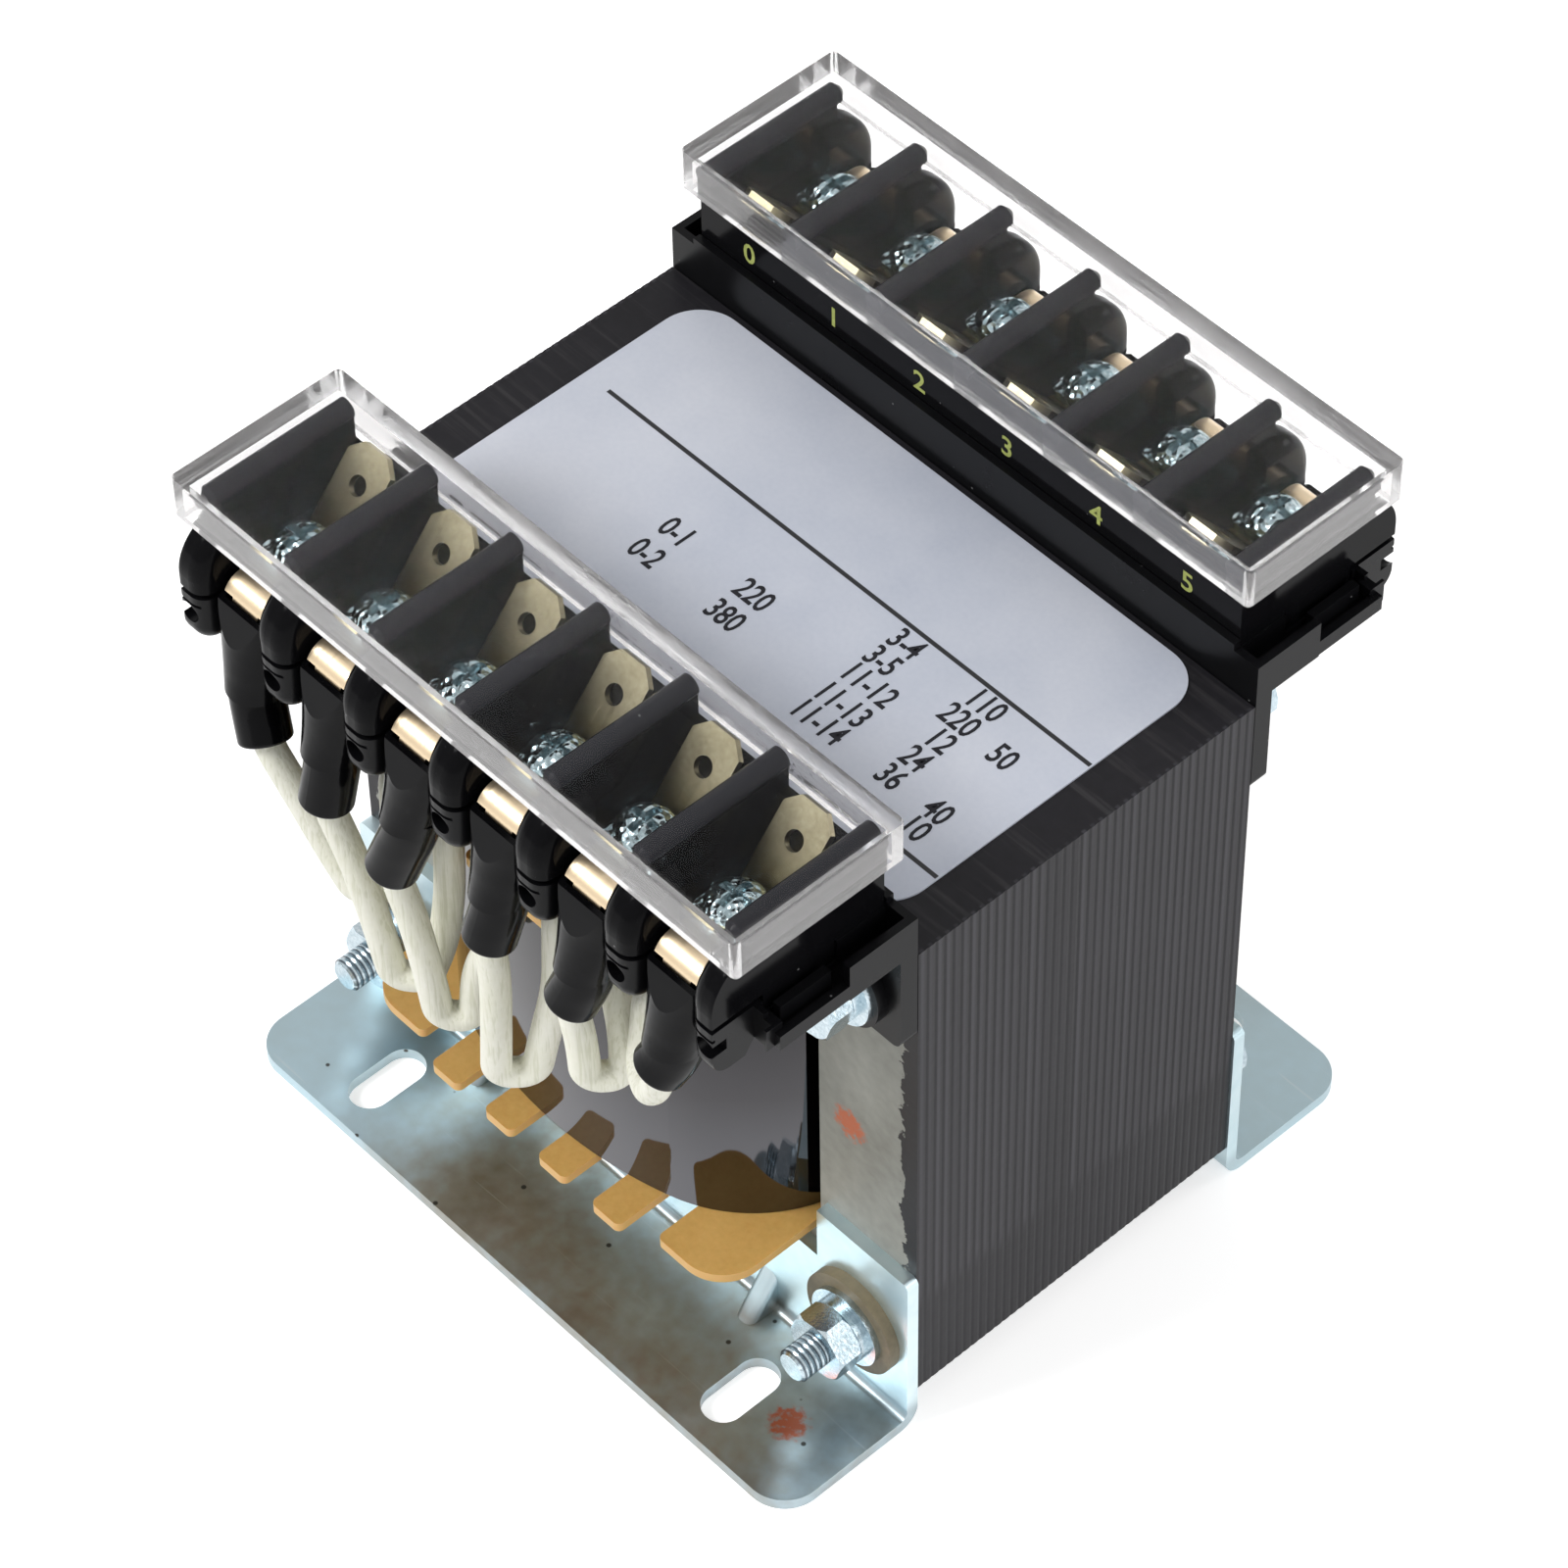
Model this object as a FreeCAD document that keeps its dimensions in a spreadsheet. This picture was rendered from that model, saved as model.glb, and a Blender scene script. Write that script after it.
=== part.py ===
import FreeCAD
import Part
import math
import os
import Sketcher

# Control transformer on an EI 84 core, in millimetres.
# The origin is on the floor, under the middle of the core.
# X runs along the terminal blocks, Y through the stack of laminations and Z up.
# "Out" is the distance from the middle plane towards the front, which is -Y.
# A rear piece is the front one turned half round about Z.

doc = FreeCAD.newDocument("transformer")
sheet = doc.addObject("Spreadsheet::Sheet", "sizes")

DRIVING_SIZES = {
    "core_width": 84.0,
    "core_height": 70.0,
    "core_stack": 45.0,
    "core_lift": 4.9,
    "core_leg": 14.0,
    "core_centre_leg": 28.0,
    "ridge_pitch": 1.125,
    "ridge_depth": 0.3,
    "bolt_inset": 7.0,
    "bolt_diameter": 3.9,
    "bolt_tube_wall": 0.3,
    "bolt_play": 0.1,
    "bolt_tail": 3.4,
    "bolt_tip": 0.4,
    "bolt_head_height": 2.8,
    "nut_across_flats": 7.0,
    "nut_height": 3.0,
    "washer_diameter": 9.4,
    "washer_thickness": 0.7,
    "spring_washer_diameter": 7.4,
    "spring_washer_thickness": 0.9,
    "spring_washer_slit": 0.7,
    "spring_washer_slant": 25.0,
    "insulator_diameter": 12.4,
    "insulator_thickness": 1.3,
    "foot_side": 0.3,
    "foot_sheet": 1.5,
    "foot_reach": 18.9,
    "foot_height": 24.0,
    "foot_saddle_height": 16.5,
    "foot_saddle_side": 6.0,
    "foot_bend": 1.0,
    "foot_corner": 4.5,
    "foot_ear_corner": 0.8,
    "slot_inset": 7.0,
    "slot_reach": 11.5,
    "slot_width": 4.8,
    "slot_length": 9.6,
    "gusset_inset": 13.4,
    "gusset_thickness": 2.6,
    "gusset_reach": 4.0,
    "gusset_rise": 5.4,
    "bobbin_wall": 1.2,
    "bobbin_flange": 1.2,
    "bobbin_play": 0.3,
    "window_play": 0.15,
    "finger_width": 4.3,
    "finger_pitch": 8.3,
    "finger_reach": 15.6,
    "finger_root": 7.9,
    "finger_round": 0.8,
    "ear_start": 18.2,
    "ear_reach": 13.6,
    "ear_corner": 5.0,
    "ear_slot_place": 22.5,
    "ear_slot_depth": 2.4,
    "ear_slot_play": 0.2,
    "lead_gap_root": 5.0,
    "lead_gap_play": 0.1,
    "winding_play": 0.2,
    "winding_corner": 0.5,
    "coil_side_gap": 0.6,
    "coil_bulge": 11.5,
    "coil_bow": 2.4,
    "coil_shoulder": 15.5,
    "coil_end_play": 0.05,
    "primary_share": 0.48,
    "film_thickness": 0.3,
    "layer_insulation": 0.6,
    "carrier_seat": 0.1,
    "carrier_plate": 2.2,
    "carrier_tab_bottom": 62.5,
    "carrier_tab_side": 6.4,
    "carrier_tab_round": 1.2,
    "carrier_boss_diameter": 10.6,
    "carrier_boss_height": 1.3,
    "carrier_skirt_bottom": 72.4,
    "carrier_underside": 75.6,
    "carrier_deck": 80.0,
    "carrier_ridge_top": 81.2,
    "carrier_ridge_wall": 0.9,
    "carrier_ledge_step": 0.2,
    "carrier_ledge_thickness": 1.9,
    "carrier_ledge_reach": 17.6,
    "carrier_arm_reach": 8.8,
    "carrier_arm_top": 80.4,
    "carrier_rim": 0.9,
    "latch_gap": 0.6,
    "latch_thickness": 1.0,
    "latch_start": 9.6,
    "latch_length": 6.4,
    "latch_top": 79.2,
    "carrier_front": 17.7,
    "carrier_clip_width": 1.8,
    "carrier_clip_height": 2.8,
    "carrier_clip_reach": 1.0,
    "lobe_width": 4.8,
    "lobe_root": 2.0,
    "lobe_reach": 22.9,
    "lobe_bottom": 72.9,
    "lobe_top": 87.5,
    "lobe_toe_round": 2.2,
    "lobe_brow_round": 5.9,
    "lobe_round": 1.9,
    "lobe_hole": 2.5,
    "lobe_hole_drop": 2.6,
    "lobe_hole_depth": 1.8,
    "lobe_groove_drop": 0.9,
    "lobe_groove_height": 0.4,
    "lobe_groove_depth": 0.4,
    "parting_gap": 0.7,
    "key_near": 7.5,
    "key_width": 9.0,
    "key_depth": 2.6,
    "key_play": 0.2,
    "pole_pitch": 12.5,
    "block_end_margin": 1.0,
    "block_start": 1.1,
    "block_front": 17.9,
    "block_floor": 81.2,
    "block_wall": 1.2,
    "block_wall_top": 86.2,
    "barrier_step": 0.4,
    "barrier_thickness": 2.0,
    "barrier_length": 18.0,
    "barrier_hook": 1.2,
    "barrier_foot_rise": 3.0,
    "bead_radius": 1.2,
    "bead_axis": 90.2,
    "bead_seam": 0.5,
    "strip_width": 6.3,
    "strip_thickness": 0.8,
    "strip_bend": 1.8,
    "strip_tab_out": 20.8,
    "strip_tab_bottom": 72.0,
    "strip_tab_width": 3.8,
    "blade_angle": 50.0,
    "blade_length": 10.0,
    "blade_start": 10.3,
    "blade_bend": 1.0,
    "blade_hole": 2.2,
    "blade_hole_place": 5.9,
    "blade_corner": 1.5,
    "screw_place": 13.1,
    "screw_diameter": 3.5,
    "screw_head_diameter": 6.2,
    "screw_head_height": 2.4,
    "screw_length": 5.4,
    "screw_play": 0.2,
    "clamp_width": 7.0,
    "clamp_depth": 5.4,
    "clamp_thickness": 1.0,
    "clamp_corner": 0.8,
    "cover_play": 0.25,
    "cover_width": 21.4,
    "cover_height": 5.1,
    "cover_wall": 1.3,
    "cover_middle": 10.7,
    "cover_corner": 0.6,
    "plate_side": 5.4,
    "plate_end": 0.8,
    "plate_thickness": 0.2,
    "plate_corner": 5.0,
    "sleeve_wall": 0.65,
    "sleeve_top": 80.2,
    "sleeve_gap": 0.3,
    "sleeve_top_width": 7.0,
    "sleeve_top_depth": 4.6,
    "sleeve_end_diameter": 5.7,
    "sleeve_end_round": 0.5,
    "sleeve_ring_diameter": 6.2,
    "sleeve_ring_height": 70.2,
    "sleeve_waist": 68.6,
    "sleeve_lean": 0.5,
    "sleeve_flat_depth": 1.1,
    "sleeve_flat_bottom": 75.0,
    "lead_diameter": 3.2,
    "lead_neck": 1.2,
    "lead_crest": 5.6,
}
POLES = 6

for row, (name, value) in enumerate(DRIVING_SIZES.items(), start=1):
    sheet.set(f"A{row}", name)
    sheet.set(f"B{row}", str(value))
    sheet.setAlias(f"B{row}", name)
doc.recompute()


class Size:
    """A number together with the sheet formula that it comes from."""

    def __init__(self, value, formula):
        self.value = value
        self.formula = formula

    def _join(self, other, sign, result):
        return Size(result, f"({self.formula} {sign} {as_size(other).formula})")

    def __add__(self, other):
        return self._join(other, "+", self.value + as_size(other).value)

    def __sub__(self, other):
        return self._join(other, "-", self.value - as_size(other).value)

    def __mul__(self, other):
        return self._join(other, "*", self.value * as_size(other).value)

    def __truediv__(self, other):
        return self._join(other, "/", self.value / as_size(other).value)

    def __neg__(self):
        return Size(-self.value, f"(0 - {self.formula})")


def as_size(number):
    return number if isinstance(number, Size) else Size(float(number), repr(float(number)))


def size(name):
    return Size(float(sheet.get(name)), f"sizes.{name}")


def sine(angle):
    return Size(math.sin(math.radians(angle.value)), f"sin({angle.formula} * 1 deg)")


def cosine(angle):
    return Size(math.cos(math.radians(angle.value)), f"cos({angle.formula} * 1 deg)")


# Shared places, each worked out once
core_half = size("core_width") / 2
face = size("core_stack") / 2
core_bottom = size("core_lift")
core_top = core_bottom + size("core_height")
window_bottom = core_bottom + size("core_leg")
window_top = core_top - size("core_leg")
window_inner = size("core_centre_leg") / 2
window_outer = core_half - size("core_leg")
bolt_x = core_half - size("bolt_inset")
bolt_low = core_bottom + size("bolt_inset")
bolt_high = core_top - size("bolt_inset")
bolt_radius = size("bolt_diameter") / 2
tube_inner = bolt_radius + size("bolt_play")
tube_outer = tube_inner + size("bolt_tube_wall")
hole_radius = tube_outer + size("bolt_play")
foot_face = face + size("foot_sheet")
carrier_back = face + size("carrier_seat")
tab_face = carrier_back + size("carrier_plate")
boss_face = tab_face + size("carrier_boss_height")
flange_low = window_bottom + size("window_play")
flange_high = window_top - size("window_play")
coil_top = flange_high - size("bobbin_flange") - size("coil_end_play")
barrier_start = face + size("block_start") + size("barrier_step")
barrier_end = barrier_start + size("barrier_length")
row_half = size("pole_pitch") * (POLES / 2)
block_end = row_half + size("block_end_margin")
strip_top = size("block_floor") + size("strip_thickness")
tab_out = face + size("strip_tab_out")
tab_middle = tab_out - size("strip_thickness") / 2
clamp_top = strip_top + size("clamp_thickness")
cover_top = size("bead_axis") + size("bead_radius") + size("cover_wall")
screw_out = face + size("screw_place")

PLANE_ROLE = {"XY": "XY_Plane", "XZ": "XZ_Plane", "YZ": "YZ_Plane"}


def new_body(label):
    body = doc.addObject("PartDesign::Body", label + "_body")
    body.Label = label
    return body


def origin_feature(body, role):
    return next(item for item in body.Origin.OriginFeatures if item.Role == role)


def new_sketch(body, plane, offset):
    """A sketch on one of the body's own planes, moved along that plane's normal."""
    sketch = body.newObject("Sketcher::SketchObject", "sketch")
    sketch.AttachmentSupport = (origin_feature(body, PLANE_ROLE[plane]), [""])
    sketch.MapMode = "FlatFace"
    offset = as_size(offset)
    sketch.AttachmentOffset.Base.z = offset.value
    sketch.setExpression("AttachmentOffset.Base.z", offset.formula)
    return sketch


def fix_point(sketch, geometry, point, place):
    for kind, coordinate in (("DistanceX", place[0]), ("DistanceY", place[1])):
        coordinate = as_size(coordinate)
        index = sketch.addConstraint(Sketcher.Constraint(kind, -1, 1, geometry, point, coordinate.value))
        sketch.setExpression(f"Constraints[{index}]", coordinate.formula)


def draw_outline(sketch, points):
    """A closed outline. A point is (x, y), or (x, y, x_mid, y_mid) when an arc leaves it."""
    places = [FreeCAD.Vector(as_size(point[0]).value, as_size(point[1]).value, 0) for point in points]
    joints = []
    for index, point in enumerate(points):
        start = places[index]
        end = places[(index + 1) % len(points)]
        if len(point) == 2:
            edge = sketch.addGeometry(Part.LineSegment(start, end))
            joints.append((edge, 1, 2))
            continue
        middle = FreeCAD.Vector(as_size(point[2]).value, as_size(point[3]).value, 0)
        turns_left = (middle - start).cross(end - middle).z > 0
        ends = (start, end) if turns_left else (end, start)
        edge = sketch.addGeometry(Part.Arc(ends[0], middle, ends[1]))
        joints.append((edge, 1, 2) if turns_left else (edge, 2, 1))
        on_arc = sketch.addGeometry(Part.Point(middle), True)
        fix_point(sketch, on_arc, 1, point[2:])
        sketch.addConstraint(Sketcher.Constraint("PointOnObject", on_arc, 1, edge))
    for index, (edge, first, last) in enumerate(joints):
        fix_point(sketch, edge, first, points[index])
        next_edge, next_first, next_last = joints[(index + 1) % len(joints)]
        sketch.addConstraint(Sketcher.Constraint("Coincident", edge, last, next_edge, next_first))


def draw_circle(sketch, centre, radius):
    radius = as_size(radius)
    place = FreeCAD.Vector(as_size(centre[0]).value, as_size(centre[1]).value, 0)
    circle = sketch.addGeometry(Part.Circle(place, FreeCAD.Vector(0, 0, 1), radius.value))
    index = sketch.addConstraint(Sketcher.Constraint("Radius", circle, radius.value))
    sketch.setExpression(f"Constraints[{index}]", radius.formula)
    fix_point(sketch, circle, 3, centre)


def draw(sketch, outlines, circles):
    for points in outlines:
        draw_outline(sketch, points)
    for centre, radius in circles:
        draw_circle(sketch, centre, radius)


def add_pad(body, plane, low, high, outlines=(), circles=()):
    """Adds the outlines to the body, from low to high along the plane's normal."""
    sketch = new_sketch(body, plane, low)
    draw(sketch, outlines, circles)
    pad = body.newObject("PartDesign::Pad", "pad")
    pad.Profile = sketch
    length = as_size(high) - low
    pad.Length = length.value
    pad.setExpression("Length", length.formula)
    body.Tip = pad
    doc.recompute()
    return pad


def add_pocket(body, plane, low, high, outlines=(), circles=()):
    """Takes the outlines out of the body, from high down to low along the plane's normal."""
    volume = body.Shape.Volume
    sketch = new_sketch(body, plane, high)
    draw(sketch, outlines, circles)
    pocket = body.newObject("PartDesign::Pocket", "pocket")
    pocket.Profile = sketch
    length = as_size(high) - low
    pocket.Length = length.value
    pocket.setExpression("Length", length.formula)
    body.Tip = pocket
    doc.recompute()
    if body.Shape.Volume >= volume:
        raise RuntimeError(f"{body.Label}: a pocket took nothing away")
    return pocket


def add_row(body, originals, pitch, count):
    """Repeats features of the body along X."""
    row = body.newObject("PartDesign::LinearPattern", "row")
    row.Originals = originals
    row.Direction = (origin_feature(body, "X_Axis"), [""])
    length = as_size(pitch) * (count - 1)
    row.Length = length.value
    row.setExpression("Length", length.formula)
    row.Occurrences = count
    body.Tip = row
    doc.recompute()
    return row


def soften(body, kind, amount, wanted):
    """Fillets or chamfers the edges that the test picks."""
    tip = body.Tip
    names = [f"Edge{number}" for number, edge in enumerate(tip.Shape.Edges, start=1) if wanted(edge)]
    if not names:
        raise RuntimeError(f"{body.Label}: no edge to soften")
    feature = body.newObject(f"PartDesign::{kind}", kind.lower())
    feature.Base = (tip, names)
    amount = as_size(amount)
    setting = "Radius" if kind == "Fillet" else "Size"
    setattr(feature, setting, amount.value)
    feature.setExpression(setting, amount.formula)
    body.Tip = feature
    doc.recompute()
    if "Invalid" in feature.State or not feature.Shape.isValid():
        raise RuntimeError(f"{body.Label}: a {kind.lower()} of {amount.value} failed on {len(names)} edges")
    return feature


def runs_along(edge, direction):
    """True for a straight edge along the direction."""
    if edge.Degenerated or edge.Curve.TypeId != "Part::GeomLine":
        return False
    return abs(abs(edge.tangentAt(edge.FirstParameter).dot(FreeCAD.Vector(*direction))) - 1) < 1e-6


def near(value, target):
    return abs(value - as_size(target).value) < 0.02


def box_outline(left, right, bottom, top):
    return [(left, bottom), (right, bottom), (right, top), (left, top)]


def mirrored(outline):
    """The same outline on the other side of the second axis."""
    return [tuple(-as_size(value) if index % 2 == 0 else value for index, value in enumerate(point))
            for point in outline]


def both_sides(outline):
    return [outline, mirrored(outline)]


HALF_TURN = FreeCAD.Placement(FreeCAD.Vector(0, 0, 0), FreeCAD.Rotation(FreeCAD.Vector(0, 0, 1), 180))


def turn_to_rear(piece):
    piece.Placement = HALF_TURN
    doc.recompute()


def shape_node(label, shape):
    node = doc.addObject("Part::Feature", label)
    node.Label = label
    node.Shape = shape
    return node


def group_node(label, form, placements):
    """One node with a separate copy of the form at each placement."""
    copies = []
    for placement in placements:
        copy = form.Shape.copy()
        copy.Placement = placement.multiply(copy.Placement)
        copies.append(copy)
    return shape_node(label, Part.makeCompound(copies))


def moved(x=0.0, y=0.0, z=0.0):
    return FreeCAD.Placement(FreeCAD.Vector(x, y, z), FreeCAD.Rotation())


# Core: stamped laminations, E stack below and I stack above the windows
def cut_ridges(body, low, high):
    """Fine grooves between the lamination edges, on the two sides of the stack."""
    count = int(size("core_stack").value / size("ridge_pitch").value) - 1
    first = -face + size("ridge_pitch")
    half = size("ridge_pitch") * 0.28
    groove = [
        (core_half, first - half),
        (core_half, first + half),
        (core_half - size("ridge_depth"), first),
    ]
    pocket = add_pocket(body, "XY", low, high, both_sides(groove))
    row = body.newObject("PartDesign::LinearPattern", "ridges")
    row.Originals = [pocket]
    row.Direction = (origin_feature(body, "Y_Axis"), [""])
    length = size("ridge_pitch") * (count - 1)
    row.Length = length.value
    row.setExpression("Length", length.formula)
    row.Occurrences = count
    body.Tip = row
    doc.recompute()


def make_core():
    e_stack = new_body("core_e_laminations")
    e_outline = [
        (-core_half, core_bottom), (core_half, core_bottom), (core_half, window_top),
        (window_outer, window_top), (window_outer, window_bottom), (window_inner, window_bottom),
        (window_inner, window_top), (-window_inner, window_top), (-window_inner, window_bottom),
        (-window_outer, window_bottom), (-window_outer, window_top), (-core_half, window_top),
    ]
    low_holes = [((-bolt_x, bolt_low), hole_radius), ((bolt_x, bolt_low), hole_radius)]
    add_pad(e_stack, "XZ", -face, face, [e_outline])
    add_pocket(e_stack, "XZ", -face, face, circles=low_holes)
    cut_ridges(e_stack, core_bottom, window_top)
    i_stack = new_body("core_i_laminations")
    high_holes = [((-bolt_x, bolt_high), hole_radius), ((bolt_x, bolt_high), hole_radius)]
    add_pad(i_stack, "XZ", -face, face, [box_outline(-core_half, core_half, window_top, core_top)])
    add_pocket(i_stack, "XZ", -face, face, circles=high_holes)
    cut_ridges(i_stack, window_top, core_top)
    return [e_stack, i_stack]


# Bobbin: one moulding, a square tube between two flanges with fingers and ears
def flange_edge():
    """Half of one flange's outer edge, from the middle finger gap to the side."""
    reach = face + size("finger_reach")
    root = face + size("finger_root")
    lead_root = face + size("lead_gap_root")
    half = size("finger_width") / 2
    first = size("finger_pitch") / 2
    second = size("finger_pitch") * 1.5
    side = window_outer - size("bobbin_play")
    ear = face + size("ear_reach")
    corner = size("ear_corner")
    bow = corner * (1 - math.sqrt(0.5))
    return [
        (first - half, root), (first - half, reach), (first + half, reach), (first + half, root),
        (second - half, root), (second - half, reach), (second + half, reach), (second + half, lead_root),
        (size("ear_start"), lead_root), (size("ear_start"), ear),
        (side - corner, ear, side - bow, ear - bow),
        (side, ear - corner),
    ]


def flange_outline():
    """The whole flange: the half edge mirrored to the other side and to the rear."""
    half = flange_edge()
    corner_point = half[-2]
    plain = half[:-2] + [corner_point[:2], half[-1]]
    bow = corner_point[2:]

    def mirror(points, sign_x, sign_y):
        return [(as_size(x) * sign_x, as_size(y) * sign_y) for x, y in points]

    outline = []
    for sign_x, sign_y, forward in ((1, 1, True), (1, -1, False), (-1, -1, True), (-1, 1, False)):
        quarter = mirror(plain, sign_x, sign_y)
        middle = (as_size(bow[0]) * sign_x, as_size(bow[1]) * sign_y)
        if forward:
            quarter[-2] = quarter[-2] + middle
        else:
            quarter.reverse()
            quarter[0] = quarter[0] + middle
        outline += quarter
    return outline


def make_bobbin():
    bobbin = new_body("bobbin")
    hole_x = window_inner + size("bobbin_play")
    hole_y = face + size("bobbin_play")
    tube_x = hole_x + size("bobbin_wall")
    tube_y = hole_y + size("bobbin_wall")
    add_pad(bobbin, "XY", flange_low, flange_low + size("bobbin_flange"), [flange_outline()])
    add_pad(bobbin, "XY", flange_low, flange_high, [box_outline(-tube_x, tube_x, -tube_y, tube_y)])
    add_pad(bobbin, "XY", flange_high - size("bobbin_flange"), flange_high, [flange_outline()])
    add_pocket(bobbin, "XY", flange_low, flange_high, [box_outline(-hole_x, hole_x, -hole_y, hole_y)])
    slot_half = size("lead_diameter") / 2 + size("ear_slot_play")
    slot_start = face + size("ear_slot_depth")
    slot_end = face + size("ear_reach") + 1
    slots = []
    for sign in (1, -1):
        near_edge = (size("ear_slot_place") - slot_half) * sign
        far_edge = (size("ear_slot_place") + slot_half) * sign
        slots.append(box_outline(near_edge, far_edge, -slot_start * sign, -slot_end * sign))
    add_pocket(bobbin, "XY", flange_high - size("bobbin_flange"), flange_high, slots)
    finger_tip = (face + size("finger_reach")).value
    ear_tip = (face + size("ear_reach")).value
    ear_start = size("ear_start").value

    def is_corner(edge):
        if not runs_along(edge, (0, 0, 1)):
            return False
        x, y = abs(edge.CenterOfMass.x), abs(edge.CenterOfMass.y)
        return near(y, finger_tip) or (near(x, ear_start) and near(y, ear_tip))

    soften(bobbin, "Fillet", size("finger_round"), is_corner)
    return [bobbin]


# Coil: rings of rising size between the bobbin tube and the bulging outside
def coil_outline(share):
    """A closed wire round the bobbin tube. Share 0 is at the tube and 1 at the outside."""
    def blend(inner, outer):
        return inner + (outer - inner) * share

    inner_side = (window_inner + size("bobbin_play") + size("bobbin_wall") + size("winding_play")).value
    inner_apex = (face + size("bobbin_play") + size("bobbin_wall") + size("winding_play")).value
    side = blend(inner_side, (window_outer - size("coil_side_gap")).value)
    apex = blend(inner_apex, (face + size("coil_bulge")).value)
    shoulder = blend(inner_side - size("winding_corner").value, size("coil_shoulder").value)
    bow = blend(0.05, size("coil_bow").value)
    big_radius = (shoulder ** 2 + bow ** 2) / (2 * bow)
    angle = math.asin(shoulder / big_radius)
    corner = (side - shoulder) / (1 - math.sin(angle))
    centre_y = apex - bow - corner * math.cos(angle)
    middle_angle = (angle + math.pi / 2) / 2
    corner_middle = (side - corner + corner * math.sin(middle_angle),
                     centre_y + corner * math.cos(middle_angle))

    def point(x, y):
        return FreeCAD.Vector(x, y, 0)

    edges = []
    for turn in (1, -1):
        edges.append(Part.Arc(point(-shoulder * turn, (apex - bow) * turn), point(0, apex * turn),
                              point(shoulder * turn, (apex - bow) * turn)))
        edges.append(Part.Arc(point(shoulder * turn, (apex - bow) * turn),
                              point(corner_middle[0] * turn, corner_middle[1] * turn),
                              point(side * turn, centre_y * turn)))
        edges.append(Part.LineSegment(point(side * turn, centre_y * turn), point(side * turn, -centre_y * turn)))
        edges.append(Part.Arc(point(side * turn, -centre_y * turn),
                              point(corner_middle[0] * turn, -corner_middle[1] * turn),
                              point(shoulder * turn, (bow - apex) * turn)))
    return Part.Wire([edge.toShape() for edge in edges])


def make_windings():
    bottom = flange_low + size("bobbin_flange") + size("coil_end_play")
    top = coil_top
    depth = size("coil_bulge").value
    film = size("film_thickness").value / depth
    insulation = size("layer_insulation").value / depth
    split = size("primary_share").value
    layers = {
        "primary_winding": (0.0, split),
        "winding_insulation": (split, split + insulation),
        "secondary_winding": (split + insulation, 1 - film),
        "coil_film_wrap": (1 - film, 1.0),
    }
    height = FreeCAD.Vector(0, 0, (top - bottom).value)
    nodes = []
    for label, (inner, outer) in layers.items():
        outside = Part.Face(coil_outline(outer)).extrude(height)
        ring = outside.cut(Part.Face(coil_outline(inner)).extrude(height))
        ring.translate(FreeCAD.Vector(0, 0, bottom.value))
        nodes.append(shape_node(label, ring))
    return nodes


# Feet: folded zinc-plated sheet, one along each face of the core
def make_foot(label):
    foot = new_body(label)
    half = core_half + size("foot_side")
    sheet_thickness = size("foot_sheet")
    inner = size("foot_bend")
    outer = inner + sheet_thickness
    toe = face + size("foot_reach")
    out_share = 1 - math.sqrt(0.5)
    section = [
        (-toe, 0), (-face - outer, 0, -face - outer * out_share, outer * out_share),
        (-face, outer), (-face, size("foot_height")), (-foot_face, size("foot_height")),
        (-foot_face, outer, -foot_face - inner * out_share, sheet_thickness + inner * out_share),
        (-foot_face - inner, sheet_thickness), (-toe, sheet_thickness),
    ]
    add_pad(foot, "YZ", -half, half, [section])
    saddle = bolt_x - size("foot_saddle_side")
    add_pocket(foot, "XZ", face - 1, foot_face + 1,
               [box_outline(-saddle, saddle, size("foot_saddle_height"), size("foot_height") + 1)])
    add_pocket(foot, "XZ", face - 1, foot_face + 1,
               circles=[((-bolt_x, bolt_low), hole_radius), ((bolt_x, bolt_low), hole_radius)])
    slot_half = size("slot_width") / 2
    slot_run = (size("slot_length") - size("slot_width")) / 2
    slot_x = bolt_x - size("slot_inset")
    slot_y = -face - size("slot_reach")
    slot = [
        (slot_x + slot_half, slot_y - slot_run),
        (slot_x + slot_half, slot_y + slot_run, slot_x, slot_y + slot_run + slot_half),
        (slot_x - slot_half, slot_y + slot_run),
        (slot_x - slot_half, slot_y - slot_run, slot_x, slot_y - slot_run - slot_half),
    ]
    add_pocket(foot, "XY", -1, sheet_thickness + 1, both_sides(slot))
    gusset = [
        (-foot_face + 0.2, sheet_thickness - 0.2),
        (-foot_face - size("gusset_reach"), sheet_thickness - 0.2),
        (-foot_face - size("gusset_reach"), sheet_thickness),
        (-foot_face, sheet_thickness + size("gusset_rise")),
        (-foot_face + 0.2, sheet_thickness + size("gusset_rise")),
    ]
    half_rib = size("gusset_thickness") / 2
    gusset_place = bolt_x - size("gusset_inset")
    for place in (gusset_place, -gusset_place):
        add_pad(foot, "YZ", place - half_rib, place + half_rib, [gusset])
    soften(foot, "Fillet", size("foot_corner"),
           lambda edge: runs_along(edge, (0, 0, 1)) and near(edge.CenterOfMass.y, -toe))
    soften(foot, "Fillet", size("foot_ear_corner"),
           lambda edge: runs_along(edge, (0, 1, 0)) and near(abs(edge.CenterOfMass.x), half)
           and near(edge.CenterOfMass.z, size("foot_height")))
    soften(foot, "Fillet", half_rib * 0.8,
           lambda edge: edge.CenterOfMass.y < -foot_face.value - 0.5 and edge.CenterOfMass.z > 2.2
           and not edge.Degenerated and edge.Curve.TypeId == "Part::GeomLine")
    return foot


# Core hardware: a nut stands at the front end of each bolt and its head at the rear
def bolt_places():
    """The four bolts, each with the face it clamps and the thickness of fibre under its washers."""
    for sign in (-1, 1):
        yield (bolt_x * sign).value, bolt_low.value, foot_face.value, size("insulator_thickness").value
    for sign in (-1, 1):
        yield (bolt_x * sign).value, bolt_high.value, boss_face.value, 0.0


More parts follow.
